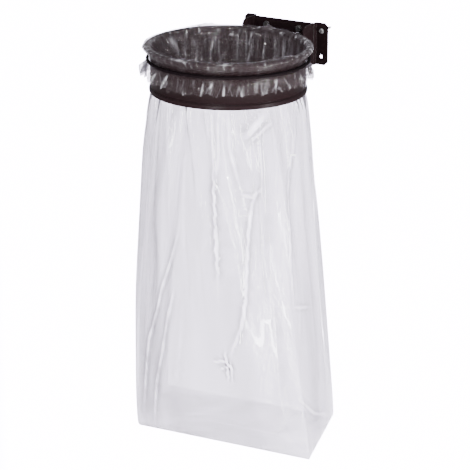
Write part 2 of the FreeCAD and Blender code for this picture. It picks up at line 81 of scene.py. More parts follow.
class Sum(Enum):
    """The sums that shader expressions use."""

    ADD = "ADD"
    TAKE = "SUBTRACT"
    TIMES = "MULTIPLY"
    POWER = "POWER"
    LEAST = "MINIMUM"
    MOST = "MAXIMUM"


class Term:
    """One number socket, so that shader sums read as plain expressions."""

    def __init__(self, bench: Bench, socket: bpy.types.NodeSocket) -> None:
        """Wrap a socket.

        Args:
            bench: The bench that owns the node tree.
            socket: The output socket that gives the number.
        """
        self.bench = bench
        self.socket = socket

    def __add__(self, other: Term | float) -> Term:
        """Add."""
        return self.bench.sum(Sum.ADD, self, other)

    def __radd__(self, other: float) -> Term:
        """Add to a plain number."""
        return self.bench.sum(Sum.ADD, other, self)

    def __sub__(self, other: Term | float) -> Term:
        """Take away."""
        return self.bench.sum(Sum.TAKE, self, other)

    def __rsub__(self, other: float) -> Term:
        """Take away from a plain number."""
        return self.bench.sum(Sum.TAKE, other, self)

    def __mul__(self, other: Term | float) -> Term:
        """Multiply."""
        return self.bench.sum(Sum.TIMES, self, other)

    def __rmul__(self, other: float) -> Term:
        """Multiply a plain number."""
        return self.bench.sum(Sum.TIMES, other, self)

    def __pow__(self, other: float) -> Term:
        """Raise to a power."""
        return self.bench.sum(Sum.POWER, self, other)

    def within(self, low: float, high: float) -> Term:
        """Keep between two numbers.

        Args:
            low: The least value.
            high: The greatest value.

        Returns:
            The limited term.
        """
        return self.bench.sum(Sum.LEAST, self.bench.sum(Sum.MOST, self, low), high)


class Bench:
    """A node tree with one way to add a node."""

    def __init__(self, tree: bpy.types.NodeTree) -> None:
        """Start on an empty tree.

        Args:
            tree: The node tree to fill.
        """
        self.tree = tree
        self.tree.nodes.clear()

    def node(self, kind: str, settings: dict[str, object] | None = None,
             feeds: dict[str | int, object] | None = None) -> bpy.types.Node:
        """Add one node.

        Args:
            kind: The node's type name.
            settings: Properties to set first; "stops" fills a colour ramp.
            feeds: Values, terms or sockets for the node's inputs, by name or number.

        Returns:
            The new node.
        """
        made = self.tree.nodes.new(kind)
        for name, value in (settings or {}).items():
            if name == "stops":
                self._fill_ramp(made.color_ramp, value)
            else:
                setattr(made, name, value)
        for name, value in (feeds or {}).items():
            source = value.socket if isinstance(value, Term) else value
            if isinstance(source, bpy.types.NodeSocket):
                self.tree.links.new(source, made.inputs[name])
            else:
                made.inputs[name].default_value = source
        return made

    @staticmethod
    def _fill_ramp(ramp: bpy.types.ColorRamp, stops: Sequence[tuple[float, Colour]]) -> None:
        """Give a colour ramp its stops.

        Args:
            ramp: The ramp to fill.
            stops: Pairs of place and colour, in rising order.
        """
        while len(ramp.elements) < len(stops):
            ramp.elements.new(1.0)
        for element, (place, colour) in zip(ramp.elements, stops):
            element.position = place
            element.color = (*colour, 1.0)

    def sum(self, kind: Sum, first: Term | float, second: Term | float) -> Term:
        """Add one Math node.

        Args:
            kind: The sum to do.
            first: The first number.
            second: The second number.

        Returns:
            The result as a term.
        """
        made = self.node("ShaderNodeMath", {"operation": kind.value}, {0: first, 1: second})
        return Term(self, made.outputs[0])

    def blend(self, share: Term | float, first: object, second: object) -> bpy.types.NodeSocket:
        """Mix two colours.

        Args:
            share: How much of the second colour shows.
            first: The first colour, as four numbers or a socket.
            second: The second colour, as four numbers or a socket.

        Returns:
            The mixed colour's socket.
        """
        made = self.node("ShaderNodeMix", {"data_type": "RGBA"}, {0: share, 6: first, 7: second})
        return made.outputs[2]

    def place(self, stretch: Triple = (1.0, 1.0, 1.0)) -> bpy.types.NodeSocket:
        """The piece's own coordinates, stretched along the axes.

        Args:
            stretch: The scale along X, Y and Z.

        Returns:
            The coordinates' socket.
        """
        spot = self.node("ShaderNodeTexCoord")
        feeds = {"Vector": spot.outputs["Object"], "Scale": stretch}
        return self.node("ShaderNodeMapping", None, feeds).outputs[0]

    def carried(self, name: str) -> Term:
        """A number that the mesh carries at each of its points.

        Args:
            name: The attribute's name.

        Returns:
            The number.
        """
        return Term(self, self.node("ShaderNodeAttribute", {"attribute_name": name}).outputs["Fac"])

    def noise(self, scale: float, detail: float = 2.0, stretch: Triple = (1.0, 1.0, 1.0),
              warp: float = 0.0) -> Term:
        """A soft cloudy pattern.

        Args:
            scale: Blobs to the metre.
            detail: How many finer layers lie on it.
            stretch: The scale along X, Y and Z.
            warp: How far the pattern is stirred.

        Returns:
            The pattern, from 0 to 1.
        """
        feeds = {"Vector": self.place(stretch), "Scale": scale, "Detail": detail, "Distortion": warp}
        return Term(self, self.node("ShaderNodeTexNoise", None, feeds).outputs["Fac"])

    def cells(self, scale: float, stretch: Triple, stir: float = 0.16, stir_scale: float = 0.6) -> Term:
        """A pattern of flat cells with straight edges, as in crumpled film.

        Args:
            scale: Cells to the metre.
            stretch: The scale along X, Y and Z.
            stir: How far the pattern is stirred.
            stir_scale: The scale of the stirring, as a share of the cells' own.

        Returns:
            How far each point lies from a cell's edge.
        """
        feeds = {"Vector": self.place(stretch), "Scale": scale * stir_scale}
        warped = self.node("ShaderNodeTexNoise", None, feeds)
        mixed = self.node("ShaderNodeMix", {"data_type": "VECTOR"},
                          {0: stir, 4: self.place(stretch), 5: warped.outputs["Color"]})
        made = self.node("ShaderNodeTexVoronoi", {"feature": "DISTANCE_TO_EDGE"},
                         {"Vector": mixed.outputs[1], "Scale": scale})
        return Term(self, made.outputs["Distance"])

    def bump(self, height: Term, depth: float, strength: float = 1.0,
             below: bpy.types.NodeSocket | None = None) -> bpy.types.NodeSocket:
        """Turn a height into a surface direction.

        Args:
            height: The height pattern, from 0 to 1.
            depth: What a height of 1 measures, in metres.
            strength: How much of the effect shows.
            below: The direction of the relief under this one.

        Returns:
            The direction's socket.
        """
        feeds: dict[str | int, object] = {"Height": height, "Distance": depth, "Strength": strength}
        if below is not None:
            feeds["Normal"] = below
        return self.node("ShaderNodeBump", None, feeds).outputs[0]

    def surface(self, feeds: dict[str | int, object]) -> None:
        """Close a material with one Principled shader.

        Args:
            feeds: The shader's inputs.
        """
        shader = self.node("ShaderNodeBsdfPrincipled", None, feeds)
        self.node("ShaderNodeOutputMaterial", None, {"Surface": shader.outputs[0]})


def fresh_material(name: str) -> tuple[bpy.types.Material, Bench]:
    """Make an empty material.

    Args:
        name: The material's name.

    Returns:
        The material and the bench of its node tree.
    """
    material = bpy.data.materials.new(name)
    material.use_nodes = True
    return material, Bench(material.node_tree)


def shade(colour: Colour) -> tuple[float, float, float, float]:
    """A colour with its fourth number."""
    return (*colour, 1.0)


@dataclass(frozen=True)
class PaintFinish:
    """Dark brown-black powder coat, satin to glossy, with a fine orange peel."""

    name: str = "dark_powder_coat"
    colour: Colour = (0.0150, 0.0080, 0.0092)
    dusty: Colour = (0.0205, 0.0125, 0.0138)
    peel_scale: float = 520.0
    peel_detail: float = 1.5
    peel_depth: float = 0.00012
    peel_strength: float = 0.6
    wave_scale: float = 34.0
    wave_detail: float = 1.0
    wave_depth: float = 0.0007
    wave_strength: float = 0.5
    smudge_scale: float = 9.0
    smudge_detail: float = 4.0
    smudge_warp: float = 0.6
    smudge_start: float = 0.35
    roughness: float = 0.26
    smudge_roughness: float = 0.14
    peel_roughness: float = 0.05
    gloss: float = 0.05
    smudge_coat: float = 0.12
    coat: Pair = (0.02, 0.08)
    coat_roughness: float = 0.30

    def build(self) -> bpy.types.Material:
        """Make the material."""
        material, bench = fresh_material(self.name)
        peel = bench.noise(self.peel_scale, self.peel_detail)
        wave = bench.noise(self.wave_scale, self.wave_detail)
        smudge = bench.noise(self.smudge_scale, self.smudge_detail, warp=self.smudge_warp)
        below = bench.bump(wave, self.wave_depth, self.wave_strength)
        relief = bench.bump(peel, self.peel_depth, self.peel_strength, below)
        dust = (smudge - self.smudge_start).within(0.0, 1.0)
        bench.surface({
            "Base Color": bench.blend(dust, shade(self.colour), shade(self.dusty)),
            "Roughness": self.roughness + smudge * self.smudge_roughness + peel * self.peel_roughness,
            "Specular IOR Level": self.gloss,
            "Coat Weight": (smudge * self.smudge_coat).within(*self.coat),
            "Coat Roughness": self.coat_roughness,
            "Normal": relief,
        })
        return material


@dataclass(frozen=True)
class RubberFinish:
    """Black extruded rubber with faint lengthwise drag lines."""

    name: str = "black_rubber"
    colour: Colour = (0.0050, 0.0026, 0.0036)
    worn: Colour = (0.0092, 0.0060, 0.0074)
    grain_scale: float = 900.0
    drag_scale: float = 60.0
    drag_stretch: Triple = (1.0, 1.0, 12.0)
    roughness: float = 0.60
    grain_roughness: float = 0.16
    gloss: float = 0.05
    relief: float = 0.00008

    def build(self) -> bpy.types.Material:
        """Make the material."""
        material, bench = fresh_material(self.name)
        grain = bench.noise(self.grain_scale)
        drag = bench.noise(self.drag_scale, stretch=self.drag_stretch)
        bench.surface({
            "Base Color": bench.blend(drag, shade(self.colour), shade(self.worn)),
            "Roughness": self.roughness + grain * self.grain_roughness,
            "Specular IOR Level": self.gloss,
            "Normal": bench.bump(grain + drag, self.relief),
        })
        return material


@dataclass(frozen=True)
class ZincFinish:
    """Zinc-plated steel with fine turning marks, bright or in a darker copy that is painted shade."""

    name: str = "bright_zinc"
    colour: Colour = (0.62, 0.62, 0.61)
    stain: Colour = (0.40, 0.40, 0.41)
    roughness: float = 0.26
    stain_scale: float = 240.0
    stain_detail: float = 3.0
    stain_warp: float = 0.4
    stain_roughness: float = 0.14
    mark_scale: float = 1400.0
    mark_detail: float = 1.0
    mark_depth: float = 0.00004
    mark_strength: float = 0.5
    metal: float = 0.95

    def build(self) -> bpy.types.Material:
        """Make the material."""
        material, bench = fresh_material(self.name)
        stain = bench.noise(self.stain_scale, self.stain_detail, warp=self.stain_warp)
        marks = bench.noise(self.mark_scale, self.mark_detail)
        bench.surface({
            "Base Color": bench.blend(stain, shade(self.colour), shade(self.stain)),
            "Metallic": self.metal,
            "Roughness": self.roughness + stain * self.stain_roughness,
            "Normal": bench.bump(marks, self.mark_depth, self.mark_strength),
        })
        return material


@dataclass(frozen=True)
class FilmFinish:
    """Clear polyethylene film: hazy, glossy, denser and whiter along its creases, the whitening partly stress
    whitening and partly painted highlight, and darker in the ring as painted shade.
    """

    name: str = "clear_film"
    colour: Colour = (0.122, 0.106, 0.142)
    held_painted_shade: Colour = (0.105, 0.078, 0.088)
    crease_white_and_glint: Colour = (0.88, 0.87, 0.93)
    held_density: float = 0.38
    held_change: float = 5.0
    cloud_scale: float = 6.5
    cloud_detail: float = 3.0
    cloud_stretch: Triple = (1.0, 1.0, 0.30)
    cloud_warp: float = 0.5
    cloud_haze: float = 0.16
    cloud_roughness: float = 0.10
    broad_scale: float = 8.0
    broad_stretch: Triple = (1.0, 1.0, 0.30)
    broad_edge: float = 0.20
    broad_depth: float = 0.035
    broad_strength: float = 0.32
    small_scale: float = 60.0
    small_stretch: Triple = (1.0, 1.0, 0.40)
    small_edge: float = 0.4
    small_depth: float = 0.005
    small_strength: float = 0.75
    crease_haze: float = 0.34
    edge_haze: float = 0.40
    edge_blend: float = 0.5
    edge_power: float = 2.0
    alpha: Pair = (0.05, 0.97)
    roughness: float = 0.085
    bending: float = 1.6
    held_coat: float = 0.30
    coat_roughness: float = 0.04

    def build(self) -> bpy.types.Material:
        """Make the material."""
        material, bench = fresh_material(self.name)
        names = ("crease", "crumple", "haze", "tone")
        crease, crumple, density, tone = (bench.carried(name) for name in names)
        cloud = bench.noise(self.cloud_scale, self.cloud_detail, self.cloud_stretch, self.cloud_warp)
        broad = bench.cells(self.broad_scale, self.broad_stretch)
        small = bench.cells(self.small_scale, self.small_stretch)
        hanging = ((density - self.held_density) * self.held_change).within(0.0, 1.0)
        # In the ring the film blends to a darker colour, as painted shade on the film held there.
        film = bench.blend(hanging, shade(self.held_painted_shade), shade(self.colour))
        below = bench.bump(broad.within(0.0, self.broad_edge), self.broad_depth, self.broad_strength)
        crushed = (small * crumple).within(0.0, self.small_edge)
        relief = bench.bump(crushed, self.small_depth, self.small_strength, below)
        facing = bench.node("ShaderNodeLayerWeight", None, {"Blend": self.edge_blend, "Normal": relief})
        edge = Term(bench, facing.outputs["Facing"]) ** self.edge_power
        haze = density * (1.0 + edge * self.edge_haze) + (cloud - 0.5) * self.cloud_haze
        bench.surface({
            # The crease whitening is partly the film's stress whitening and partly painted highlight on fold
            # edges.
            "Base Color": bench.blend(crease.within(0.0, 1.0), film, shade(self.crease_white_and_glint)),
            "Roughness": self.roughness + cloud * self.cloud_roughness,
            # The tone lowers the alpha along bright fold lines, as painted highlight, and raises it along
            # darker ones.
            "Alpha": (haze + tone + crease * self.crease_haze).within(*self.alpha),
            "IOR": self.bending,
            "Specular IOR Level": 1.0,
            "Coat Weight": self.held_coat + hanging * (1 - self.held_coat),
            "Coat Roughness": self.coat_roughness,
            "Normal": relief,
        })
        return material


@dataclass(frozen=True)
class FloorFinish:
    """A plain pale studio floor with a light table let into it behind the object.

    The table widens away from the camera, so that it only just fills the picture, and its edges are soft.
    """

    name: str = "pale_floor"
    colour: Colour = (0.80, 0.80, 0.80)
    tint: Colour = (1.0, 0.93, 1.13)
    glow: float = 16.0
    bearing: float = CAMERA_BEARING
    near: float = 1.3
    far: float = 13.0
    eye_distance: float = 5.3
    spread: float = 0.112
    margin: float = 0.42
    soft: float = 0.3
    roughness: float = 0.6

    def build(self) -> bpy.types.Material:
        """Make the material."""
        material, bench = fresh_material(self.name)
        angle = math.radians(self.bearing)
        spot = bench.node("ShaderNodeSeparateXYZ", None, {0: bench.place()})
        x, y = Term(bench, spot.outputs[0]), Term(bench, spot.outputs[1])
        behind = y * math.cos(angle) - x * math.sin(angle)
        beside = x * math.cos(angle) + y * math.sin(angle)
        sideways = bench.sum(Sum.MOST, beside, beside * -1.0)
        rise = 1 / self.soft
        lit = ((behind - self.near) * rise).within(0.0, 1.0)
        lit = lit * ((self.far - behind) * rise).within(0.0, 1.0)
        half_width = (behind + self.eye_distance) * self.spread + self.margin
        lit = lit * ((half_width - sideways) * rise).within(0.0, 1.0)
        bench.surface({
            "Base Color": shade(self.colour),
            "Roughness": self.roughness,
            "Emission Color": bench.blend(lit, shade((0.0, 0.0, 0.0)), shade(self.tint)),
            "Emission Strength": self.glow,
        })
        return material


def show(obj: bpy.types.Object) -> bpy.types.Object:
    """Put an object in the scene."""
    bpy.context.scene.collection.objects.link(obj)
    return obj


def mesh_object(name: str, points: Numbers, faces: Sequence[Sequence[int]],
                smooth: bool = True) -> bpy.types.Object:
    """Make a mesh object that isn't shown yet.

    Args:
        name: The object's name.
        points: The vertices, one row each.
        faces: The faces, as lists of vertex numbers.
        smooth: True for soft shading.

    Returns:
        The object.
    """
    mesh = bpy.data.meshes.new(name)
    mesh.from_pydata([tuple(point) for point in points], [], [tuple(face) for face in faces])
    mesh.polygons.foreach_set("use_smooth", [smooth] * len(mesh.polygons))
    mesh.update()
    return bpy.data.objects.new(name, mesh)


def settled(obj: bpy.types.Object, name: str) -> bpy.types.Object:
    """Turn an object with modifiers into a plain mesh and remove the old one.

    Args:
        obj: The object, which is in the scene.
        name: The new object's name.

    Returns:
        The plain object, in the scene.
    """
    graph = bpy.context.evaluated_depsgraph_get()
    mesh = bpy.data.meshes.new_from_object(obj.evaluated_get(graph))
    bpy.data.objects.remove(obj)
    mesh.name = name
    return show(bpy.data.objects.new(name, mesh))


def set_out(obj: bpy.types.Object, nodes: Sequence[str]) -> bpy.types.Object:
    """Hand a finished piece to the frame.

    Args:
        obj: The finished piece.
        nodes: The CAD nodes that it stands for.

    Returns:
        The piece.
    """
    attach(obj, ROOT)
    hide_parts(*nodes)
    LOG.info("%s: %d faces for %s", obj.name, len(obj.data.polygons), ", ".join(nodes))
    return obj


def face_outwards(mesh: bpy.types.Mesh) -> None:
    """Merge doubles and turn every face outwards.

    Args:
        mesh: The mesh to mend.
    """
    work = bmesh.new()
    work.from_mesh(mesh)
    bmesh.ops.remove_doubles(work, verts=work.verts, dist=MERGE_DISTANCE)
    bmesh.ops.recalc_face_normals(work, faces=work.faces)
    work.to_mesh(mesh)
    work.free()


class GeometryRecipe:
    """A Geometry Nodes tree that is built, run once on an object and taken off again."""

    def __init__(self, name: str) -> None:
        """Start an empty tree.

        Args:
            name: The tree's name.
        """
        self.tree = bpy.data.node_groups.new(name, "GeometryNodeTree")
        self.bench = Bench(self.tree)
        self.identifiers: dict[str, str] = {}
        self.tree.interface.new_socket("Geometry", in_out="INPUT", socket_type="NodeSocketGeometry")
        self.tree.interface.new_socket("Geometry", in_out="OUTPUT", socket_type="NodeSocketGeometry")

    def input(self, name: str, kind: str) -> None:
        """Add a named input.

        Args:
            name: The input's name.
            kind: Its socket type.
        """
        socket = self.tree.interface.new_socket(name, in_out="INPUT", socket_type=kind)
        self.identifiers[name] = socket.identifier

    def close(self, geometry: bpy.types.NodeSocket, finish: bpy.types.NodeSocket) -> None:
        """End the tree: real geometry with its material.

        Args:
            geometry: What the tree has made.
            finish: The material's socket.
        """
        real = self.bench.node("GeometryNodeRealizeInstances", None, {0: geometry})
        feeds = {"Geometry": real.outputs[0], "Material": finish}
        dressed = self.bench.node("GeometryNodeSetMaterial", None, feeds)
        self.bench.node("NodeGroupOutput", None, {0: dressed.outputs[0]})

    def run(self, carrier: bpy.types.Object, values: dict[str, object], name: str) -> bpy.types.Object:
        """Run the tree on an object.

        Args:
            carrier: The object that carries the modifier.
            values: The inputs' values by name.
            name: The finished object's name.

        Returns:
            The finished plain mesh object.
        """
        show(carrier)
        modifier = carrier.modifiers.new("recipe", "NODES")
        modifier.node_group = self.tree
        for key, value in values.items():
            modifier[self.identifiers[key]] = value
        carrier.update_tag()
        bpy.context.view_layer.update()
        return settled(carrier, name)


class HoopRecipe(GeometryRecipe):
    """Sweeps a closed section once round a level circle."""

    def __init__(self) -> None:
        """Build the tree."""
        super().__init__("hoop")
        self.input("Radius", "NodeSocketFloat")
        self.input("Steps", "NodeSocketInt")
        self.input("Section", "NodeSocketObject")
        self.input("Finish", "NodeSocketMaterial")
        given = self.bench.node("NodeGroupInput")
        circle = self.bench.node("GeometryNodeCurvePrimitiveCircle", None,
                                 {"Radius": given.outputs["Radius"], "Resolution": given.outputs["Steps"]})
        section = self.bench.node("GeometryNodeObjectInfo", None, {"Object": given.outputs["Section"]})
        outline = self.bench.node("GeometryNodeMeshToCurve", None, {"Mesh": section.outputs["Geometry"]})
        swept = self.bench.node("GeometryNodeCurveToMesh", None,
                                {"Curve": circle.outputs[0], "Profile Curve": outline.outputs[0]})
        self.close(swept.outputs[0], given.outputs["Finish"])

    def sweep(self, name: str, centre: Vector, radius: float, section: Sequence[Pair],
              finish: bpy.types.Material, steps: int = 288) -> bpy.types.Object:
        """Make one hoop.

        Args:
            name: The hoop's name.
            centre: The hoop's centre.
            radius: The circle that the section's offsets are measured from.
            section: The closed section as pairs of outward and upward offsets.
            finish: The hoop's material.
            steps: Segments round the circle.

        Returns:
            The hoop.
        """
        count = len(section)
        points = [(out, -rise, 0.0) for out, rise in section]
        edges = [(corner, (corner + 1) % count) for corner in range(count)]
        outline = bpy.data.meshes.new("section")
        outline.from_pydata(points, edges, [])
        holder = show(bpy.data.objects.new("section", outline))
        values = {"Radius": radius, "Steps": steps, "Section": holder, "Finish": finish}
        hoop = self.run(mesh_object("carrier", np.zeros((1, 3)), []), values, name)
        bpy.data.objects.remove(holder)
        hoop.data.transform(Matrix.Translation(centre))
        face_outwards(hoop.data)
        hoop.data.polygons.foreach_set("use_smooth", [True] * len(hoop.data.polygons))
        return hoop


class CopyRecipe(GeometryRecipe):
    """Sets copies of one piece on a handful of points, each with a turn of its own."""

    def __init__(self) -> None:
        """Build the tree."""
        super().__init__("copies")
        self.input("Piece", "NodeSocketObject")
        self.input("Turn", "NodeSocketFloat")
        self.input("Seed", "NodeSocketInt")
        self.input("Finish", "NodeSocketMaterial")
        given = self.bench.node("NodeGroupInput")
        piece = self.bench.node("GeometryNodeObjectInfo", None, {"Object": given.outputs["Piece"]})
        spin = self.bench.node("FunctionNodeRandomValue", {"data_type": "FLOAT"},
                               {2: 0.0, 3: given.outputs["Turn"], "Seed": given.outputs["Seed"]})
        turn = self.bench.node("ShaderNodeCombineXYZ", None, {"Y": spin.outputs[1]})
        copies = self.bench.node("GeometryNodeInstanceOnPoints", None,
                                 {"Points": given.outputs[0], "Instance": piece.outputs["Geometry"],
                                  "Rotation": turn.outputs[0]})
        self.close(copies.outputs[0], given.outputs["Finish"])

    def set_copies(self, name: str, piece: bpy.types.Object, spots: Sequence[Vector],
                   finish: bpy.types.Material, turn: float = 0.0, seed: int = 1) -> bpy.types.Object:
        """Copy a piece to every spot.

        Args:
            name: The finished object's name.
            piece: The piece to copy, which is removed afterwards.
            spots: Where the copies go.
            finish: Their material.
            turn: The greatest random turn about Y, in radians.
            seed: The random turns' seed.

        Returns:
            The copies as one object.
        """
        show(piece)
        values = {"Piece": piece, "Turn": turn, "Seed": seed, "Finish": finish}
        made = self.run(mesh_object("carrier", np.array(spots), []), values, name)
        bpy.data.objects.remove(piece)
        return made


def turned(name: str, outline: Sequence[Pair], sides: int = 40) -> bpy.types.Object:
    """Turn an outline about the Y axis into a closed solid.

    Args:
        name: The object's name.
        outline: Pairs of radius and place along Y, from one pole to the other.
        sides: Segments round the axis.

    Returns:
        The solid.
    """
    points: list[Triple] = []
    for radius, along in outline:
        for side in range(sides):
            angle = 2 * math.pi * side / sides
            points.append((radius * math.cos(angle), along, radius * math.sin(angle)))
    faces = []
    for level in range(len(outline) - 1):
        for side in range(sides):
            here, beside = level * sides + side, level * sides + (side + 1) % sides
            faces.append((here, here + sides, beside + sides, beside))
    faces.append(tuple(range(sides)))
    last = (len(outline) - 1) * sides
    faces.append(tuple(reversed(range(last, last + sides))))
    made = mesh_object(name, np.array(points), faces, smooth=False)
    face_outwards(made.data)
    return made


def cut_away(base: bpy.types.Object, tools: Sequence[bpy.types.Object], name: str,
             operation: str = "DIFFERENCE") -> bpy.types.Object:
    """Cut tools from a piece, or join them to it.

    Args:
        base: The piece.
        tools: What is cut away or joined, which is removed afterwards.
        name: The result's name.
        operation: The Boolean operation.

    Returns:
        The result, taken out of the scene.
    """
    show(base)
    for tool in tools:
        show(tool)
        modifier = base.modifiers.new("cut", "BOOLEAN")
        modifier.operation = operation
        modifier.solver = "EXACT"
        modifier.object = tool
    result = settled(base, name)
    for tool in tools:
        bpy.data.objects.remove(tool)
    bpy.context.scene.collection.objects.unlink(result)
    return result


def block(low: Sequence[float], high: Sequence[float]) -> bpy.types.Object:
    """A plain block to cut with.

    Args:
        low: The lowest corner.
        high: The highest corner.

    Returns:
        The block.
    """
    corners = np.array([(x, y, z) for x in (low[0], high[0]) for y in (low[1], high[1])
                        for z in (low[2], high[2])])
    faces = [(0, 1, 3, 2), (4, 6, 7, 5), (0, 4, 5, 1), (2, 3, 7, 6), (0, 2, 6, 4), (1, 5, 7, 3)]
    made = mesh_object("block", corners, faces, smooth=False)
    face_outwards(made.data)
    return made


@dataclass
class FoldedSteel:
    """The wall plate and the ring bracket, with the soft edges that cut and painted sheet has."""

    finish: bpy.types.Material
    edge: float = 0.0006
    flat: float = math.radians(1.0)
    sharp: float = math.radians(28.0)
    edge_steps: int = 3

    def dress(self, source: bpy.types.Object, name: str) -> bpy.types.Object:
        """Copy a CAD node, round its edges and paint it.

        Args:
            source: The CAD node's object.
            name: The new piece's name.

        Returns:
            The dressed piece.
        """
        mesh = source.data.copy()
        mesh.materials.clear()
        mesh.materials.append(self.finish)
        work = bmesh.new()
        work.from_mesh(mesh)
        bmesh.ops.remove_doubles(work, verts=work.verts, dist=MERGE_DISTANCE)
        bmesh.ops.dissolve_limit(work, angle_limit=self.flat, verts=work.verts, edges=work.edges)
        work.to_mesh(mesh)
        work.free()
        for layer in [layer.name for layer in mesh.attributes if layer.name.startswith("custom_normal")]:
            mesh.attributes.remove(mesh.attributes[layer])
        mesh.polygons.foreach_set("use_smooth", [True] * len(mesh.polygons))
        obj = show(bpy.data.objects.new(name, mesh))
        bevel = obj.modifiers.new("soft_edges", "BEVEL")
        bevel.width = self.edge
        bevel.segments = self.edge_steps
        bevel.limit_method = "ANGLE"
        bevel.angle_limit = self.sharp
        bevel.harden_normals = True
        bevel.use_clamp_overlap = True
        return settled(obj, name)

    def build(self, nodes: dict[str, bpy.types.Object]) -> None:
        """Dress both pieces.

        Args:
            nodes: The CAD nodes by name.
        """
        for node, name in (("wall_plate", "wall_plate_painted"), ("ring_bracket", "ring_bracket_painted")):
            set_out(self.dress(nodes[node], name), [node])


@dataclass
class Hoop:
    """The ring and its belt, measured from the ring's CAD box."""

    centre: Vector
    finish: bpy.types.Material
    rubber: bpy.types.Material
    bore: float = 0.1835
    sheet: float = 0.0015
    height: float = 0.112
    lip: float = 0.008
    hem_height: float = 0.012
    hem_round: float = 0.0026
    bead: float = 0.0026
    bead_round: float = 0.0050
    bead_steps: int = 8
    groove_tall: float = 0.0034
    groove_deep: float = 0.0011
    groove_brow: float = 0.9
    hem_inner: float = 0.0006
    belt_radius: float = 0.004
    belt_drop: float = 0.034
    belt_circle: float = 0.1911
    belt_sides: int = 18
    lip_steps: int = 20

    def section(self) -> list[Pair]:
        """The strip's section: a round lip, a plain wall, a groove and a folded hem."""
        crown = self.lip
        points = [(0.0, self.hem_round - self.height), (0.0, -self.lip)]
        for step in range(1, self.lip_steps + 1):
            turn = math.pi - math.pi * step / self.lip_steps
            points.append((crown + self.lip * math.cos(turn), self.lip * math.sin(turn) - self.lip))
        inner = self.lip - self.sheet
        for step in range(self.lip_steps + 1):
            turn = math.pi * step / self.lip_steps
            points.append((crown + inner * math.cos(turn), inner * math.sin(turn) - self.lip))
        brow = self.hem_height - self.height
        ledge = self.sheet - self.groove_deep
        points += [(self.sheet, brow + self.groove_tall),
                   (ledge, brow + self.groove_brow * self.groove_tall), (ledge, brow)]
        top, bottom = brow - self.bead_round, self.bead_round - self.height
        for middle, start in ((top, math.pi / 2), (bottom, 0.0)):
            for step in range(self.bead_steps + 1):
                turn = start - (math.pi / 2) * step / self.bead_steps
                out, rise = self.bead * math.cos(turn), self.bead_round * math.sin(turn)
                points.append((self.sheet + out, middle + rise))
        points.append((self.hem_inner, -self.height))
        return points

    def build(self, recipe: HoopRecipe) -> None:
        """Make the ring and the belt.

        Args:
            recipe: The recipe that sweeps a section round.
        """
        ring = recipe.sweep("ring_painted", self.centre, self.bore, self.section(), self.finish)
        set_out(ring, ["ring"])
        angles = [2 * math.pi * side / self.belt_sides for side in range(self.belt_sides)]
        belt_section = [(self.belt_radius * math.cos(angle), self.belt_radius * math.sin(angle))
                        for angle in angles]
        middle = self.centre - Vector((0, 0, self.belt_drop))
        belt = recipe.sweep("belt_rubber", middle, self.belt_circle, belt_section, self.rubber)
        set_out(belt, ["belt"])


@dataclass(frozen=True)
class Crease:
    """A fold line of the film.

    Its points are shares of the way round and of the way down the pouch, where a place in the ring is below
    0. In the cuff they run down from the belt. Height, width, tone_width and wobble are in metres. In the
    pouch a tone below 0 lets more light through along the line, a painted highlight that stands in for a
    glint, and one above 0 lets less through. In the ring and in the cuff a tone whitens the line, partly as
    the film's own stress whitening and partly as a painted highlight.
    """

    line: tuple[Pair, ...]
    height: float
    width: float = 0.018
    tone: float = 0.0
    tone_width: float = 0.003
    wobble: float = 0.0
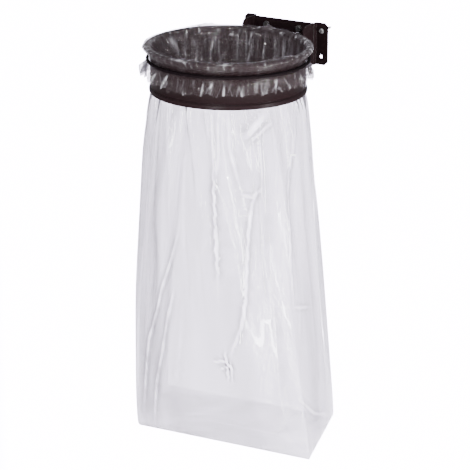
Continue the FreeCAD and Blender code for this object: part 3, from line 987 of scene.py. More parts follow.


# Fold lines seen on the pouch. A tone below 0 paints a highlight along the line, standing in for a glint; a
# tone above 0 darkens it.
SEEN_CREASES = (
    Crease(((0.795, 0.16), (0.787, 0.33), (0.782, 0.50)), 0.0035, 0.016, -0.95, 0.0034, 0.0018),
    Crease(((0.801, -0.02), (0.798, 0.09), (0.795, 0.20)), 0.0030, 0.014, -0.34, 0.0030, 0.0008),
    Crease(((0.876, 0.20), (0.858, 0.27), (0.848, 0.34), (0.838, 0.44), (0.829, 0.54), (0.816, 0.62),
            (0.788, 0.72)),
           0.0030, 0.018, -0.95, 0.0034, 0.0010),
    Crease(((0.710, 0.37), (0.666, 0.55), (0.629, 0.72), (0.606, 0.96)), 0.0038, 0.020, -0.90, 0.0030),
    Crease(((0.690, 0.54), (0.666, 0.69), (0.641, 0.84), (0.625, 0.985)), 0.0030, 0.016, -0.80, 0.0028),
    Crease(((0.995, 0.00), (0.940, 0.26), (0.923, 0.44), (0.920, 0.56)),
           0.0050, 0.018, -0.52, 0.0030, 0.0014),
    Crease(((0.919, 0.555), (0.985, 0.59)), 0.0020, 0.012, -0.42),
    Crease(((0.662, 0.00), (0.651, 0.18), (0.632, 0.34)), -0.0080, 0.020, 0.16, 0.0060),
    Crease(((0.632, 0.34), (0.640, 0.50), (0.622, 0.66)), -0.0050, 0.018, 0.10, 0.0050),
    Crease(((0.738, 0.00), (0.748, 0.12), (0.752, 0.26)), -0.0065, 0.016, 0.14, 0.0050),
    Crease(((0.897, 0.06), (0.888, 0.28), (0.879, 0.47), (0.879, 0.62), (0.872, 0.83)),
           -0.0050, 0.024, 0.10, 0.0200),
    Crease(((0.875, 0.20), (0.868, 0.40), (0.866, 0.60)), -0.0030, 0.010, 0.15, 0.0035),
    Crease(((0.838, 0.23), (0.861, 0.240), (0.888, 0.21)), 0.0040, 0.012, -0.50, 0.0035),
    Crease(((0.884, 0.22), (0.890, 0.11), (0.898, 0.00)), 0.0040, 0.014, -0.40, 0.0030),
    Crease(((0.855, 0.080), (0.883, 0.048), (0.915, 0.010)), 0.0050, 0.010, -0.62, 0.0075),
    Crease(((0.866, 0.088), (0.892, 0.066), (0.921, 0.036)), 0.0040, 0.008, -0.50, 0.0032),
    Crease(((0.741, 0.815), (0.807, 0.83), (0.873, 0.845)), 0.0012, 0.014, -0.08, 0.0025),
    Crease(((0.900, 0.815), (0.954, 0.89), (1.070, 0.975)), 0.0030, 0.014, -0.40, 0.0035),
    Crease(((0.868, 0.83), (0.872, 0.91), (0.884, 0.945), (0.908, 0.99)), 0.0018, 0.012, 0.06, 0.0040),
    Crease(((0.835, 0.00), (0.829, 0.10), (0.842, 0.22)), 0.0055, 0.014, -0.36, 0.0044),
    Crease(((0.813, 0.00), (0.807, 0.13), (0.785, 0.27)), 0.0055, 0.014, -0.30, 0.0038),
    Crease(((0.695, 0.02), (0.700, 0.20), (0.690, 0.36)), 0.0045, 0.014, -0.10, 0.0030),
    Crease(((0.755, 0.745), (0.779, 0.735), (0.792, 0.765)), 0.0005, 0.006, -0.66, 0.0026, 0.0016),
    Crease(((0.780, 0.70), (0.782, 0.76), (0.778, 0.80)), 0.0005, 0.006, -0.80, 0.0026, 0.0016),
    Crease(((0.787, 0.73), (0.788, 0.76), (0.786, 0.80)), 0.0005, 0.006, -0.66, 0.0024),
    Crease(((0.765, 0.765), (0.790, 0.745)), 0.0005, 0.005, -0.66, 0.0024),
    Crease(((0.630, 0.02), (0.618, 0.25), (0.606, 0.50)), 0.0, 0.018, 0.055, 0.0180),
    Crease(((0.818, 0.06), (0.812, 0.30), (0.810, 0.56)), 0.0, 0.018, -0.080, 0.0200),
    Crease(((0.866, 0.03), (0.862, 0.13), (0.862, 0.215)), 0.0, 0.018, 0.090, 0.0150),
    Crease(((0.935, 0.03), (0.915, 0.30), (0.905, 0.60)), 0.0, 0.018, -0.050, 0.0160),
)

# Folds inside the ring. Their tone whitens the fold, partly as stress whitening and partly as painted
# highlights standing in for glints.
RING_FOLDS = (
    Crease(((0.427, -0.136), (0.429, -0.120), (0.435, -0.107)), 0.0040, 0.008, 0.85, 0.0040),
    Crease(((0.484, -0.131), (0.473, -0.100), (0.457, -0.060)), 0.0050, 0.014, 0.46, 0.0150),
    Crease(((0.364, -0.125), (0.372, -0.081), (0.384, -0.035)), 0.0060, 0.010, 0.42, 0.0060),
    Crease(((0.360, -0.125), (0.357, -0.087), (0.356, -0.052)), 0.0040, 0.008, 0.46, 0.0040),
    Crease(((0.339, -0.057), (0.351, -0.042), (0.360, -0.020)), 0.0030, 0.008, 0.30, 0.0050),
    Crease(((0.337, -0.102), (0.327, -0.111), (0.312, -0.103)), 0.0030, 0.006, 0.90, 0.0034),
    Crease(((0.330, -0.115), (0.326, -0.105), (0.322, -0.097)), 0.0030, 0.006, 0.90, 0.0034),
    Crease(((0.314, -0.097), (0.317, -0.058), (0.316, -0.025)), 0.0050, 0.010, 0.36, 0.0060),
    Crease(((0.280, -0.125), (0.285, -0.101), (0.288, -0.078)), 0.0050, 0.008, 0.80, 0.0045),
    Crease(((0.275, -0.120), (0.283, -0.068), (0.294, -0.017)), 0.0050, 0.010, 0.44, 0.0050),
    Crease(((0.252, -0.125), (0.250, -0.074), (0.252, -0.024)), 0.0045, 0.009, 0.40, 0.0045),
    Crease(((0.227, -0.120), (0.222, -0.074), (0.224, -0.033)), 0.0045, 0.010, 0.38, 0.0060),
    Crease(((0.185, -0.125), (0.178, -0.089), (0.185, -0.051)), 0.0045, 0.010, 0.34, 0.0060),
    Crease(((0.418, -0.106), (0.405, -0.064), (0.392, -0.030)), 0.0050, 0.012, 0.28, 0.0080),
    Crease(((0.450, -0.122), (0.443, -0.081), (0.434, -0.045)), 0.0050, 0.012, 0.26, 0.0080),
    Crease(((0.523, -0.138), (0.513, -0.119), (0.502, -0.090)), 0.0045, 0.010, 0.34, 0.0060),
)

# Folds of the cuff. Their tone whitens the fold's edge, partly as stress whitening and partly as painted
# highlight.
CUFF_FOLDS = (
    Crease(((0.6706, 0.004), (0.6590, 0.052)), 0.0030, 0.006, 0.60, 0.0036),
    Crease(((0.7048, 0.002), (0.6944, 0.056)), 0.0040, 0.008, 0.80, 0.0070),
    Crease(((0.7125, 0.012), (0.7006, 0.056)), 0.0030, 0.006, 0.60, 0.0034),
    Crease(((0.7440, 0.006), (0.7551, 0.056)), 0.0040, 0.008, 0.70, 0.0055),
    Crease(((0.7389, 0.010), (0.7470, 0.056)), 0.0030, 0.006, 0.50, 0.0034),
    Crease(((0.7658, 0.000), (0.7717, 0.036)), 0.0030, 0.007, 0.40, 0.0046),
    Crease(((0.7878, 0.004), (0.7819, 0.056)), 0.0040, 0.008, 0.85, 0.0046),
    Crease(((0.8031, 0.006), (0.7989, 0.056)), 0.0035, 0.008, 0.45, 0.0080),
    Crease(((0.8280, 0.006), (0.8253, 0.056)), 0.0040, 0.008, 0.80, 0.0046),
    Crease(((0.8306, 0.006), (0.8457, 0.056)), 0.0030, 0.006, 0.55, 0.0032),
    Crease(((0.8637, 0.008), (0.8594, 0.056)), 0.0035, 0.008, 0.50, 0.0060),
    Crease(((0.8874, 0.006), (0.8904, 0.046)), 0.0035, 0.008, 0.45, 0.0080),
    Crease(((0.9160, 0.004), (0.9068, 0.056)), 0.0030, 0.006, 0.60, 0.0034),
    Crease(((0.9354, 0.004), (0.9272, 0.056)), 0.0030, 0.006, 0.55, 0.0034),
    Crease(((0.9476, 0.002), (0.9687, 0.046)), 0.0030, 0.006, 0.50, 0.0034),
    Crease(((0.9959, 0.000), (1.0123, 0.040)), 0.0030, 0.006, 0.40, 0.0050),
)


@dataclass(frozen=True)
class StrayCreases:
    """Fainter fold lines in seeded places all round the pouch, most of them nearly upright.

    Places, tops and lengths are shares of the way round and down. Each pair is a range to draw from.
    """

    seed: int
    strong_count: int = 14
    faint_count: int = 18
    strong_places: Pair = (0.15, 0.56)
    faint_places: Pair = (0.13, 1.0)
    tops: Pair = (-0.05, 0.75)
    lengths: Pair = (0.15, 0.45)
    lowest: float = 0.98
    lean: float = 0.008
    jitter: float = 0.0025
    steps: int = 3
    outward_share: float = 0.65
    strong_height: float = 0.0032
    strong_tone: float = -0.10
    faint_heights: Pair = (0.0008, 0.0022)
    faint_tones: Pair = (-0.06, -0.02)
    widths: Pair = (0.010, 0.022)
    tone_widths: Pair = (0.002, 0.005)
    wobbles: Pair = (0.0, 0.003)

    def draw(self) -> list[Crease]:
        """Draw the lines.

        Returns:
            The fold lines, the strong ones first.
        """
        dice = np.random.default_rng(self.seed)
        lines = []
        for number in range(self.strong_count + self.faint_count):
            strong = number < self.strong_count
            start = dice.uniform(*(self.strong_places if strong else self.faint_places))
            top, length = dice.uniform(*self.tops), dice.uniform(*self.lengths)
            lean = dice.normal(0.0, self.lean)
            points = []
            for step in range(self.steps + 1):
                place = start + lean * step + dice.normal(0, self.jitter)
                points.append((place, min(self.lowest, top + length * step / self.steps)))
            # An outward line gets a tone below 0, a faint painted highlight, and an inward one a tone above
            # 0, a faint darker line.
            sign = 1 if dice.uniform() < self.outward_share else -1
            height, tone = self.strong_height, self.strong_tone
            if not strong:
                height, tone = dice.uniform(*self.faint_heights), dice.uniform(*self.faint_tones)
            lines.append(Crease(tuple(points), sign * height, dice.uniform(*self.widths), sign * tone,
                                dice.uniform(*self.tone_widths), dice.uniform(*self.wobbles)))
        return lines


@dataclass(frozen=True)
class WaveBand:
    """Irregular waves round the bag: the fewest and most in a round, how far they wander, and their draw."""

    lowest: int
    highest: int
    drift: float
    draw: int


@dataclass
class BagFilm:
    """The bag: a ruffled cuff, film drawn over the lip and gathered in the ring, and a boxed pouch.

    Sizes are in metres. What ends in white, crumple, haze or tone is a share, and what ends in fade is a
    share of the pouch's length. A pair is a middle and a width, or a start and a reach. Only the tufts are
    two places, and the shift is a step along X and one along Y. Each band of waves has a seeded draw of its
    own.
    """

    crest: Vector
    finish: bpy.types.Material
    # The ring and the belt under the film
    bore: float = 0.1835
    sheet: float = 0.0015
    lip: float = 0.008
    gap: float = 0.0008
    ring_height: float = 0.112
    belt_drop: float = 0.034
    belt_radius: float = 0.004
    # The cuff
    cuff_rows: int = 24
    cuff_drop: float = 0.076
    cuff_lift: float = 0.018
    cuff_flare: float = 0.0115
    flare_power: float = 0.55
    flare_loss: float = 0.45
    back_power: int = 3
    ruffles: WaveBand = WaveBand(15, 44, 0.80, 1)
    ruffle_size: float = 0.0082
    ruffle_rest: float = 0.7
    ruffle_start: float = 2.2
    ruffle_white: float = 0.50
    ruffle_tip: float = 0.08
    ridge_white: float = 0.06
    ridge_range: Pair = (0.9, 1.5)
    white_start: float = 3.0
    jags: WaveBand = WaveBand(20, 70, 0.0, 2)
    jag_size: float = 0.0022
    cuff_crumple: float = 0.34
    cuff_clearer: float = 0.235
    cuff_white: float = 2.7
    tufts: Pair = (0.585, 0.085)
    tuft_width: float = 0.075
    tuft_haze: float = 0.44
    # The rows under the belt: belt radii below its middle, and how far the film puffs out there
    belt_rows: tuple[Pair, ...] = ((1.0, 0.0), (0.5, 0.0), (0.0, 0.0), (-0.6, 0.15), (-1.6, 0.5),
                                   (-2.8, 0.9))
    puckers: WaveBand = WaveBand(24, 60, 0.0, 3)
    pucker_puff: float = 0.0016
    pucker_size: float = 0.0009
    pucker_white: float = 0.25
    belt_crumple: float = 0.26
    # Over the lip
    lip_steps: int = 12
    wrinkles: WaveBand = WaveBand(16, 52, 3.5, 4)
    wrinkle_size: float = 0.0014
    wrinkle_white: float = 0.95
    wrinkle_tip: float = 0.08
    flecks: WaveBand = WaveBand(30, 90, 6.0, 8)
    fleck_start: float = 0.4
    fleck_white: float = 0.08
    tuft_fleck_white: float = 0.80
    # A painted highlight on the lip's outer front: a bright patch where the film catches the light.
    lip_glint: Pair = (0.738, 0.013)
    lip_glint_turn: Pair = (0.85, 0.30)
    crest_turn: Pair = (1.40, 0.22)
    lip_crumple: float = 0.20
    lip_clearer: float = 0.17
    crest_clearer: float = 0.15
    lip_tuft_haze: float = 0.28
    puffs: tuple[Triple, ...] = ((0.386, 0.034, 0.0044), (0.250, 0.009, 0.0052), (0.590, 0.050, 0.0026))
    puff_tone: float = 80.0
    # The folds inside the ring and below it
    ring_share: float = 0.13
    tight_folds: WaveBand = WaveBand(8, 30, 1.3, 5)
    tight_size: float = 0.0072
    tight_rise: float = 1.5
    tight_power: float = 0.7
    tight_fade: float = 0.052
    tight_white: float = 0.44
    tight_tip: float = 0.12
    bulge_white: float = 0.06
    bulge_range: Pair = (0.7, 1.2)
    white_rise: float = 3.0
    white_fade: float = 0.10
    fold_white: float = 1.7
    smooth_patch: Pair = (0.331, 0.016)
    loose_folds: WaveBand = WaveBand(3, 12, 3.0, 6)
    loose_size: float = 0.0095
    loose_blunt: float = 0.16
    loose_fade: float = 0.55
    loose_end: float = 4.0
    bands: WaveBand = WaveBand(4, 14, 2.4, 7)
    band_tone: float = 0.036
    # The pouch
    inside_share: float = 0.118
    inside_rows: int = 30
    pouch_rows: int = 176
    pouch_drop: float = 0.962
    front: float = 0.462
    side: float = 0.268
    shift: Pair = (0.020, 0.013)
    turn_deg: float = 4.2
    skew_deg: float = 11.9
    spread_power: float = 0.9
    bulge: float = 0.0125
    bulge_power: float = 0.35
    shift_power: float = 2.2
    calm: float = 0.75
    calm_power: float = 8.0
    mouth_crumple: float = 0.48
    mouth_fade: float = 0.05
    pouch_crumple: float = 0.16
    tone_start: float = 25.0
    floor_parts: tuple[float, ...] = (0.02, 0.06, 0.14, 0.28, 0.45, 0.62, 0.80, 0.94, 0.999)
    floor_sag: float = 0.002
    sag_power: int = 8
    floor_crumple: float = 0.2
    # The lines of the folds
    line_tip: float = 0.0016
    line_ends: float = 5.0
    line_power: float = 0.7
    sway_waves: Pair = (170.0, 391.0)
    sway_second: float = 0.6
    flicker_waves: Pair = (97.0, 41.0)
    flicker: float = 0.28
    halo_width: float = 3.0
    halo_share: float = 0.30
    # The sheet as a whole
    flat_width: float = 1.448
    flat_length: float = 1.22
    ring_density: float = 0.33
    pouch_density: float = 0.614
    density_step: Pair = (0.95, 0.12)
    clearer_side: float = 0.96
    clearer: float = 0.075
    crowding: float = 0.38
    front_turn_deg: float = 300.0
    columns: int = 360
    seed: int = 11
    turns: Numbers = field(init=False)

    def __post_init__(self) -> None:
        """Lay out the columns, closer together on the side away from the wall than behind."""
        even = np.arange(self.columns) / self.columns * 2 * math.pi
        self.turns = even - self.crowding * np.sin(even - math.radians(self.front_turn_deg))

    @property
    def share(self) -> Numbers:
        """How far round each column lies, from the middle of the right side."""
        return (self.turns / (2 * math.pi)) % 1.0

    @property
    def pouch_length(self) -> float:
        """How far the pouch hangs below the ring."""
        return self.pouch_drop - self.ring_height

    def near(self, place: float, width: float) -> Numbers:
        """How close each column lies to a place on the round.

        Args:
            place: The place, as a share of the way round.
            width: How wide its surroundings are.

        Returns:
            1 at the place, falling to 0 beside it.
        """
        beside = (self.share - place + 0.5) % 1.0 - 0.5
        return np.exp(-(beside / width) ** 2)

    @property
    def ends(self) -> Numbers:
        """How close each column lies to the two ends where the cuff sticks out in tufts."""
        return sum(self.near(place, self.tuft_width) for place in self.tufts)

    @property
    def puff(self) -> Numbers:
        """How far the film stands off the lip at each column, in its few loose places."""
        return sum(size * self.near(place, width) for place, width, size in self.puffs)

    def waves(self, band: WaveBand, depth: Numbers) -> Numbers:
        """Irregular waves round the bag that wander sideways on their way down.

        Args:
            band: The waves to draw.
            depth: How far down each row lies.

        Returns:
            One number for each row and column, of unit spread.
        """
        dice = np.random.default_rng(self.seed + band.draw)
        total = np.zeros((len(depth), self.columns))
        for count in range(band.lowest, band.highest + 1):
            size, place, lean = dice.normal(), dice.uniform(0, 2 * math.pi), dice.normal()
            wander = band.drift * lean * depth[:, None]
            total += size * np.cos(count * self.turns[None, :] + place + wander)
        return total / total.std()

    @staticmethod
    def crisp(waves: Numbers, round_off: float = 0.02) -> Numbers:
        """Turn waves into folds, each with a sharp edge where the waves cross zero.

        Args:
            waves: The waves.
            round_off: How blunt the sharp edge is.

        Returns:
            Folds from 0 at the sharp edge upwards.
        """
        return np.sqrt(waves ** 2 + round_off) - math.sqrt(round_off)

    @staticmethod
    def tips(waves: Numbers, width: float = 0.20) -> Numbers:
        """Where the folds have their sharp edges.

        Args:
            waves: The waves that the folds were made from.
            width: How wide an edge is, in the waves' own measure.

        Returns:
            1 on an edge, falling to 0 beside it.
        """
        return np.exp(-(waves / width) ** 2)

    def level(self, radius: Numbers | float, height: Numbers | float) -> Numbers:
        """A ring of points.

        Args:
            radius: The radius, or one for each column.
            height: The height over the crest, or one for each column.

        Returns:
            The points.
        """
        radius = np.broadcast_to(radius, self.turns.shape)
        height = np.broadcast_to(height, self.turns.shape)
        return np.stack([radius * np.cos(self.turns), radius * np.sin(self.turns), height], axis=1)

    def cuff(self) -> tuple[list[Numbers], list[Numbers], list[Numbers]]:
        """The film outside the ring, from its free edge up to the lip: points, crumple and whitening."""
        rows, crumple, whiten = [], [], []
        hug = self.bore + self.sheet + self.gap
        back = ((1 + np.sin(self.turns)) / 2) ** self.back_power
        depth = np.linspace(0, 1, self.cuff_rows)
        ruffle = self.waves(self.ruffles, depth)
        fold = self.crisp(ruffle)
        jag = self.waves(self.jags, np.zeros(1))[0]
        top = self.belt_drop + self.belt_radius
        tall = (self.cuff_drop - top) / self.pouch_length
        seen, streaks = (layer[::-1] for layer in self.creases(depth * tall, CUFF_FOLDS))
        ridge_start, ridge_limit = self.ridge_range
        for index, down in enumerate(depth[::-1]):
            edge = self.cuff_drop - self.cuff_lift * back + self.jag_size * jag
            swell = self.cuff_flare * (1 - back * self.flare_loss) * down ** self.flare_power
            start = min(1.0, down * self.ruffle_start)
            stand = self.ruffle_size * start * (fold[index] - self.ruffle_rest) + seen[index] * start
            rows.append(self.level(hug + swell + stand, -(top + down * (edge - top))))
            crumple.append(np.full(self.columns, self.belt_crumple + self.cuff_crumple * down))
            # The whitening on the ruffles' edges and along the cuff's folds is partly stress whitening and
            # partly painted highlight.
            white = self.ruffle_white * self.tips(ruffle[index], self.ruffle_tip)
            white = white + self.ridge_white * np.clip(fold[index] - ridge_start, 0, ridge_limit)
            white = white + np.clip(self.cuff_white * streaks[index], 0.0, 1.0)
            whiten.append(white * min(1.0, down * self.white_start))
        pucker = self.waves(self.puckers, np.zeros(1))[0]
        for down, puff in self.belt_rows:
            stand = self.pucker_puff * puff + self.pucker_size * puff * self.crisp(pucker)
            rows.append(self.level(hug + stand, -(self.belt_drop + down * self.belt_radius)))
            crumple.append(np.full(self.columns, self.belt_crumple))
            whiten.append(self.pucker_white * puff * self.tips(pucker))
        return rows, crumple, whiten

    def over_lip(self) -> tuple[list[Numbers], list[Numbers], list[Numbers]]:
        """The film drawn over the lip, with small radial wrinkles: points, crumple and whitening."""
        rows, crumple, whiten = [], [], []
        crown = self.bore + self.lip
        depth = np.linspace(0, 1, self.lip_steps + 1)
        waves = self.waves(self.wrinkles, depth)
        wrinkle = self.crisp(waves)
        fleck = np.clip(self.waves(self.flecks, depth) - self.fleck_start, 0, 1)
        fleck_share = self.fleck_white + self.tuft_fleck_white * self.ends
        middle, spread = self.lip_glint_turn
        for step in range(self.lip_steps + 1):
            turn = math.pi * step / self.lip_steps
            reach = self.lip + self.gap + self.wrinkle_size * wrinkle[step] + self.puff * math.sin(turn)
            rows.append(self.level(crown + reach * math.cos(turn), reach * math.sin(turn) - self.lip))
            crumple.append(np.full(self.columns, self.lip_crumple))
            # The whitening on the wrinkles' edges is partly stress whitening and partly painted highlight;
            # the lip glint is a painted highlight.
            lip_glint = self.near(*self.lip_glint) * math.exp(-((turn - middle) / spread) ** 2)
            edges = self.wrinkle_white * self.tips(waves[step], self.wrinkle_tip)
            whiten.append(edges + fleck[step] * fleck_share + lip_glint)
        return rows, crumple, whiten

    def gathers(self, free: Numbers) -> tuple[Numbers, Numbers]:
        """How far the film is drawn inwards by its folds: tight in the ring, wide and shallow in the pouch.

        Args:
            free: How far down each row lies: below zero in the ring, from 0 to 1 in the pouch.

        Returns:
            The inward depth for each row and column, and the whitening of the folds' edges.
        """
        tight = self.waves(self.tight_folds, free)
        loose = self.waves(self.loose_folds, free)
        into = np.clip((free + self.ring_share) / self.ring_share, 0, 1)
        below = np.clip(free, 0, 1)
        tight_size = self.tight_size * np.clip(into * self.tight_rise, 0, 1) ** self.tight_power
        tight_size = tight_size * np.exp(-below / self.tight_fade)
        loose_size = self.loose_size * into ** 2 * np.exp(-below / self.loose_fade)
        loose_size = loose_size * (1 - below ** self.loose_end)
        depth = self.crisp(tight) * tight_size[:, None]
        depth = depth + self.crisp(loose, self.loose_blunt) * loose_size[:, None]
        fade = np.clip(into * self.white_rise, 0, 1) * np.exp(-below / self.white_fade)
        start, limit = self.bulge_range
        # The whitening of the tight folds' edges is partly stress whitening and partly painted highlight.
        pale = self.tight_white * self.tips(tight, self.tight_tip)
        pale = pale + self.bulge_white * np.clip(self.crisp(tight) - start, 0, limit)
        bare = 1 - self.near(*self.smooth_patch)
        return depth, pale * fade[:, None] * bare[None, :]

    def box_edge(self, share: float) -> Numbers:
        """A point on the floor's outline.

        Args:
            share: How far round, from the middle of the right side.

        Returns:
            The point in the floor's plane, from the box's middle.
        """
        across = math.radians(self.turn_deg)
        inwards = across + math.radians(90 + self.skew_deg)
        along_front = np.array([math.cos(across), math.sin(across)]) * (self.front / 2)
        along_side = np.array([math.cos(inwards), math.sin(inwards)]) * (self.side / 2)
        corners = [along_front + along_side, along_side - along_front, -along_front - along_side,
                   along_front - along_side]
        walk = (share * 2 * (self.front + self.side) + self.side / 2) % (2 * (self.front + self.side))
        start = corners[-1]
        for corner, length in zip(corners, (self.side, self.front, self.side, self.front)):
            if walk <= length:
                return start + (corner - start) * (walk / length)
            walk -= length
            start = corner
        return start

    def distances(self, crease: Crease, number: int, across: Numbers,
                  down: Numbers) -> tuple[Numbers, Numbers]:
        """How far each row and column lies from a fold line.

        Args:
            crease: The fold line.
            number: The line's place in its list, which gives its sway a start of its own.
            across: How far round each column lies, in metres.
            down: How far down each row lies, in metres.

        Returns:
            The distance in metres, and how far along the line the nearest point lies, from 0 to 1.
        """
        girth, length = self.flat_width, self.pouch_length
        nearest = np.full((down.shape[0], across.shape[1]), girth)
        along = np.zeros_like(nearest)
        slow, quick = self.sway_waves
        ripple = np.sin(down * slow + number) + self.sway_second * np.sin(down * quick + 2.0 * number)
        sway = crease.wobble * ripple
        count = len(crease.line) - 1
        for index, (first, second) in enumerate(zip(crease.line, crease.line[1:])):
            run, fall = (second[0] - first[0]) * girth, (second[1] - first[1]) * length
            beside = (across - first[0] * girth + sway + girth / 2) % girth - girth / 2
            under = down - first[1] * length
            part = np.clip((beside * run + under * fall) / (run ** 2 + fall ** 2), 0, 1)
            distance = np.hypot(beside - part * run, under - part * fall)
            closer = distance < nearest
            nearest = np.where(closer, distance, nearest)
            along = np.where(closer, (index + part) / count, along)
        return nearest, along

    def creases(self, free: Numbers, lines: Sequence[Crease]) -> tuple[Numbers, Numbers]:
        """Lay fold lines over the rows and columns.

        Args:
            free: How far down each row lies, as a share of the pouch's length.
            lines: The fold lines.

        Returns:
            The outward height and the tone of each row and column.
        """
        across = self.share[None, :] * self.flat_width
        down = free[:, None] * self.pouch_length
        height = np.zeros((len(free), self.columns))
        tones = np.zeros_like(height)
        tip = self.line_tip
        slow, quick = self.flicker_waves
        for number, crease in enumerate(lines):
            nearest, along = self.distances(crease, number, across, down)
            fade = np.clip(np.minimum(along, 1 - along) * self.line_ends, 0.0, 1.0) ** self.line_power
            height += crease.height * fade * np.exp(-(np.sqrt(nearest ** 2 + tip ** 2) - tip) / crease.width)
            # A tone below 0 paints a highlight along the line that flickers along its length; the halo of
            # opposite sign beside such a bright line is painted shade.
            sparkle = np.sin(down * slow + number) * np.sin(down * quick + 2.0 * number)
            core = (1 - self.flicker + self.flicker * sparkle) * np.exp(-(nearest / crease.tone_width) ** 2)
            halo = np.exp(-(nearest / (self.halo_width * crease.tone_width)) ** 2)
            tones += crease.tone * fade * (core - self.halo_share * halo)
        return height, tones

    def pouch(self) -> tuple[list[Numbers], list[Numbers], list[Numbers], list[Numbers]]:
        """The film inside the ring and down to the floor: points, crumple, whitening and tone."""
        inside = np.linspace(-self.inside_share, 0.0, self.inside_rows)[1:]
        free = np.concatenate([inside, np.linspace(0.0, 1.0, self.pouch_rows)[1:]])
        gathers, tips = self.gathers(free)
        height, tones = self.creases(free, (*SEEN_CREASES, *StrayCreases(self.seed).draw()))
        tucks, pale = self.creases(free, RING_FOLDS)
        gathers = gathers + tucks
        # The ring folds' whitening is partly stress whitening and partly painted highlight.
        tips = tips + np.clip(self.fold_white * pale, 0.0, 1.0)
        bands = self.crisp(self.waves(self.bands, free))
        tones = tones + self.band_tone * (bands - bands.mean())
        edge = np.array([self.box_edge(share) for share in self.share])
        away = np.stack([np.cos(self.turns), np.sin(self.turns)], axis=1)
        radius = self.bore - self.gap
        rows, crumple, whiten, tone = [], [], [], []
        for index, part in enumerate(free):
            low = max(0.0, part)
            spread = low ** self.spread_power
            middle = np.array(self.shift) * low ** self.shift_power
            bulge = self.bulge * max(0.0, math.sin(math.pi * low)) ** self.bulge_power
            flat = away * (radius * (1 - spread) + bulge) + edge * spread
            relief = -gathers[index] + height[index] * (1.0 if part > 0 else 0.0)
            relief = relief * (1 - self.calm * low ** self.calm_power)
            outline = flat + away * relief[:, None] + middle
            tall = np.full((self.columns, 1), -self.ring_height - part * self.pouch_length)
            rows.append(np.concatenate([outline, tall], axis=1))
            crushed = self.mouth_crumple * math.exp(-low / self.mouth_fade) + self.pouch_crumple
            crumple.append(np.full(self.columns, crushed))
            whiten.append(tips[index])
            tone.append(tones[index] * min(1.0, low * self.tone_start))
        return rows, crumple, whiten, tone

    def floor(self, rim: Numbers) -> list[Numbers]:
        """The pouch's floor, which closes on the bag's bottom seam.

        Args:
            rim: The pouch's last row of points.

        Returns:
            The floor's rows, down to the seam.
        """
        across = math.radians(self.turn_deg)
        along = np.array([math.cos(across), math.sin(across)])
        middle = rim[:, :2].mean(axis=0)
        reach = (self.front - self.side) / 2
        place = np.clip((rim[:, :2] - middle) @ along, -reach, reach)
        seam = middle + place[:, None] * along
        rows = []
        for part in self.floor_parts:
            flat = rim[:, :2] * (1 - part) + seam * part
            sag = self.floor_sag * (1 - (1 - part) ** self.sag_power)
            rows.append(np.concatenate([flat, rim[:, 2:] - sag], axis=1))
        return rows

    def density(self, height: Numbers, cuff: int, lip: int) -> Numbers:
        """How dense the film looks: clearer on the ring, denser in the pouch and in the tufts.

        Args:
            height: Each point's height over the crest.
            cuff: How many rows the cuff has.
            lip: How many rows the lip has.

        Returns:
            One number for each point.
        """
        rows = len(height) // self.columns
        start, reach = self.density_step
        below = np.clip((-height - self.ring_height * start) / (self.ring_height * reach), 0, 1)
        clearer = self.clearer * np.clip(np.cos(2 * math.pi * (self.share - self.clearer_side)), 0, 1) ** 2
        density = self.ring_density + (self.pouch_density - self.ring_density) * below
        density = density - np.tile(clearer, rows) * below
        outside, over = cuff * self.columns, (cuff + lip) * self.columns
        density[:outside] += np.tile(self.tuft_haze * self.ends - self.cuff_clearer, cuff)
        density[outside:over] += np.tile(self.lip_tuft_haze * self.ends - self.lip_clearer, lip)
        middle, spread = self.crest_turn
        crest = np.exp(-((np.linspace(0, math.pi, lip) - middle) / spread) ** 2)
        density[outside:over] -= self.crest_clearer * np.repeat(crest, self.columns)
        return density

    def build(self) -> bpy.types.Object:
        """Make the bag's film as one sheet.

        Returns:
            The film.
        """
        cuff, cuff_crumple, cuff_white = self.cuff()
        lip, lip_crumple, lip_white = self.over_lip()
        pouch, pouch_crumple, pouch_white, pouch_tone = self.pouch()
        floor = self.floor(pouch[-1])
        rows = cuff + lip + pouch + floor
        plain_row = np.zeros(self.columns)
        floor_crumple = [np.full(self.columns, self.floor_crumple)] * len(floor)
        crumple = cuff_crumple + lip_crumple + pouch_crumple + floor_crumple
        white = cuff_white + lip_white + pouch_white + [plain_row] * len(floor)
        lip_tone = [self.puff_tone * self.puff] * len(lip)
        tone = [plain_row] * len(cuff) + lip_tone + pouch_tone + [plain_row] * len(floor)
        points = np.concatenate(rows)
        looks = {"crumple": np.concatenate(crumple), "crease": np.concatenate(white),
                 "tone": np.concatenate(tone), "haze": self.density(points[:, 2], len(cuff), len(lip))}
        count = self.columns
        faces = []
        for level in range(len(rows) - 1):
            for column in range(count):
                here, beside = level * count + column, level * count + (column + 1) % count
                faces.append((here, here + count, beside + count, beside))
        film = mesh_object("bag_film", points + np.array(self.crest), faces)
        film.data.materials.append(self.finish)
        for name, values in looks.items():
            layer = film.data.attributes.new(name, "FLOAT", "POINT")
            layer.data.foreach_set("value", values.astype(np.float32))
        show(film)
        set_out(film, ["bag"])
        return film


@dataclass(frozen=True)
class Thread:
    """A shank with thread ridges, along +Y from 0. The shares are of the pitch or of the radius."""

    radius: float
    length: float
    pitch: float
    point: float = 0.0
    start: float = 0.98
    end: float = 0.8
    depth: float = 0.35
    run_out: float = 0.6
    flank: float = 0.4
    crest: float = 0.12
    core: float = 0.6
    least: float = 0.0005
    tip: float = 0.0003
    sides: int = 24

    def build(self, name: str) -> bpy.types.Object:
        """Make the shank.

        Args:
            name: The object's name.

        Returns:
            The shank.
        """
        outline = [(self.radius * self.start, 0.0)]
        depth = self.pitch * self.depth
        along = self.pitch
        while along < self.length - self.pitch * self.run_out:
            pointed = self.point and along > self.length - self.point
            outer = max(self.radius * ((self.length - along) / self.point if pointed else 1.0), self.least)
            outline.append((max(outer - depth, outer * self.core), along - self.pitch * self.flank))
            outline.append((outer, along))
            outline.append((outer, along + self.pitch * self.crest))
            along += self.pitch
        outline.append((self.tip if self.point else self.radius * self.end, self.length))
        return turned(name, outline, sides=self.sides)


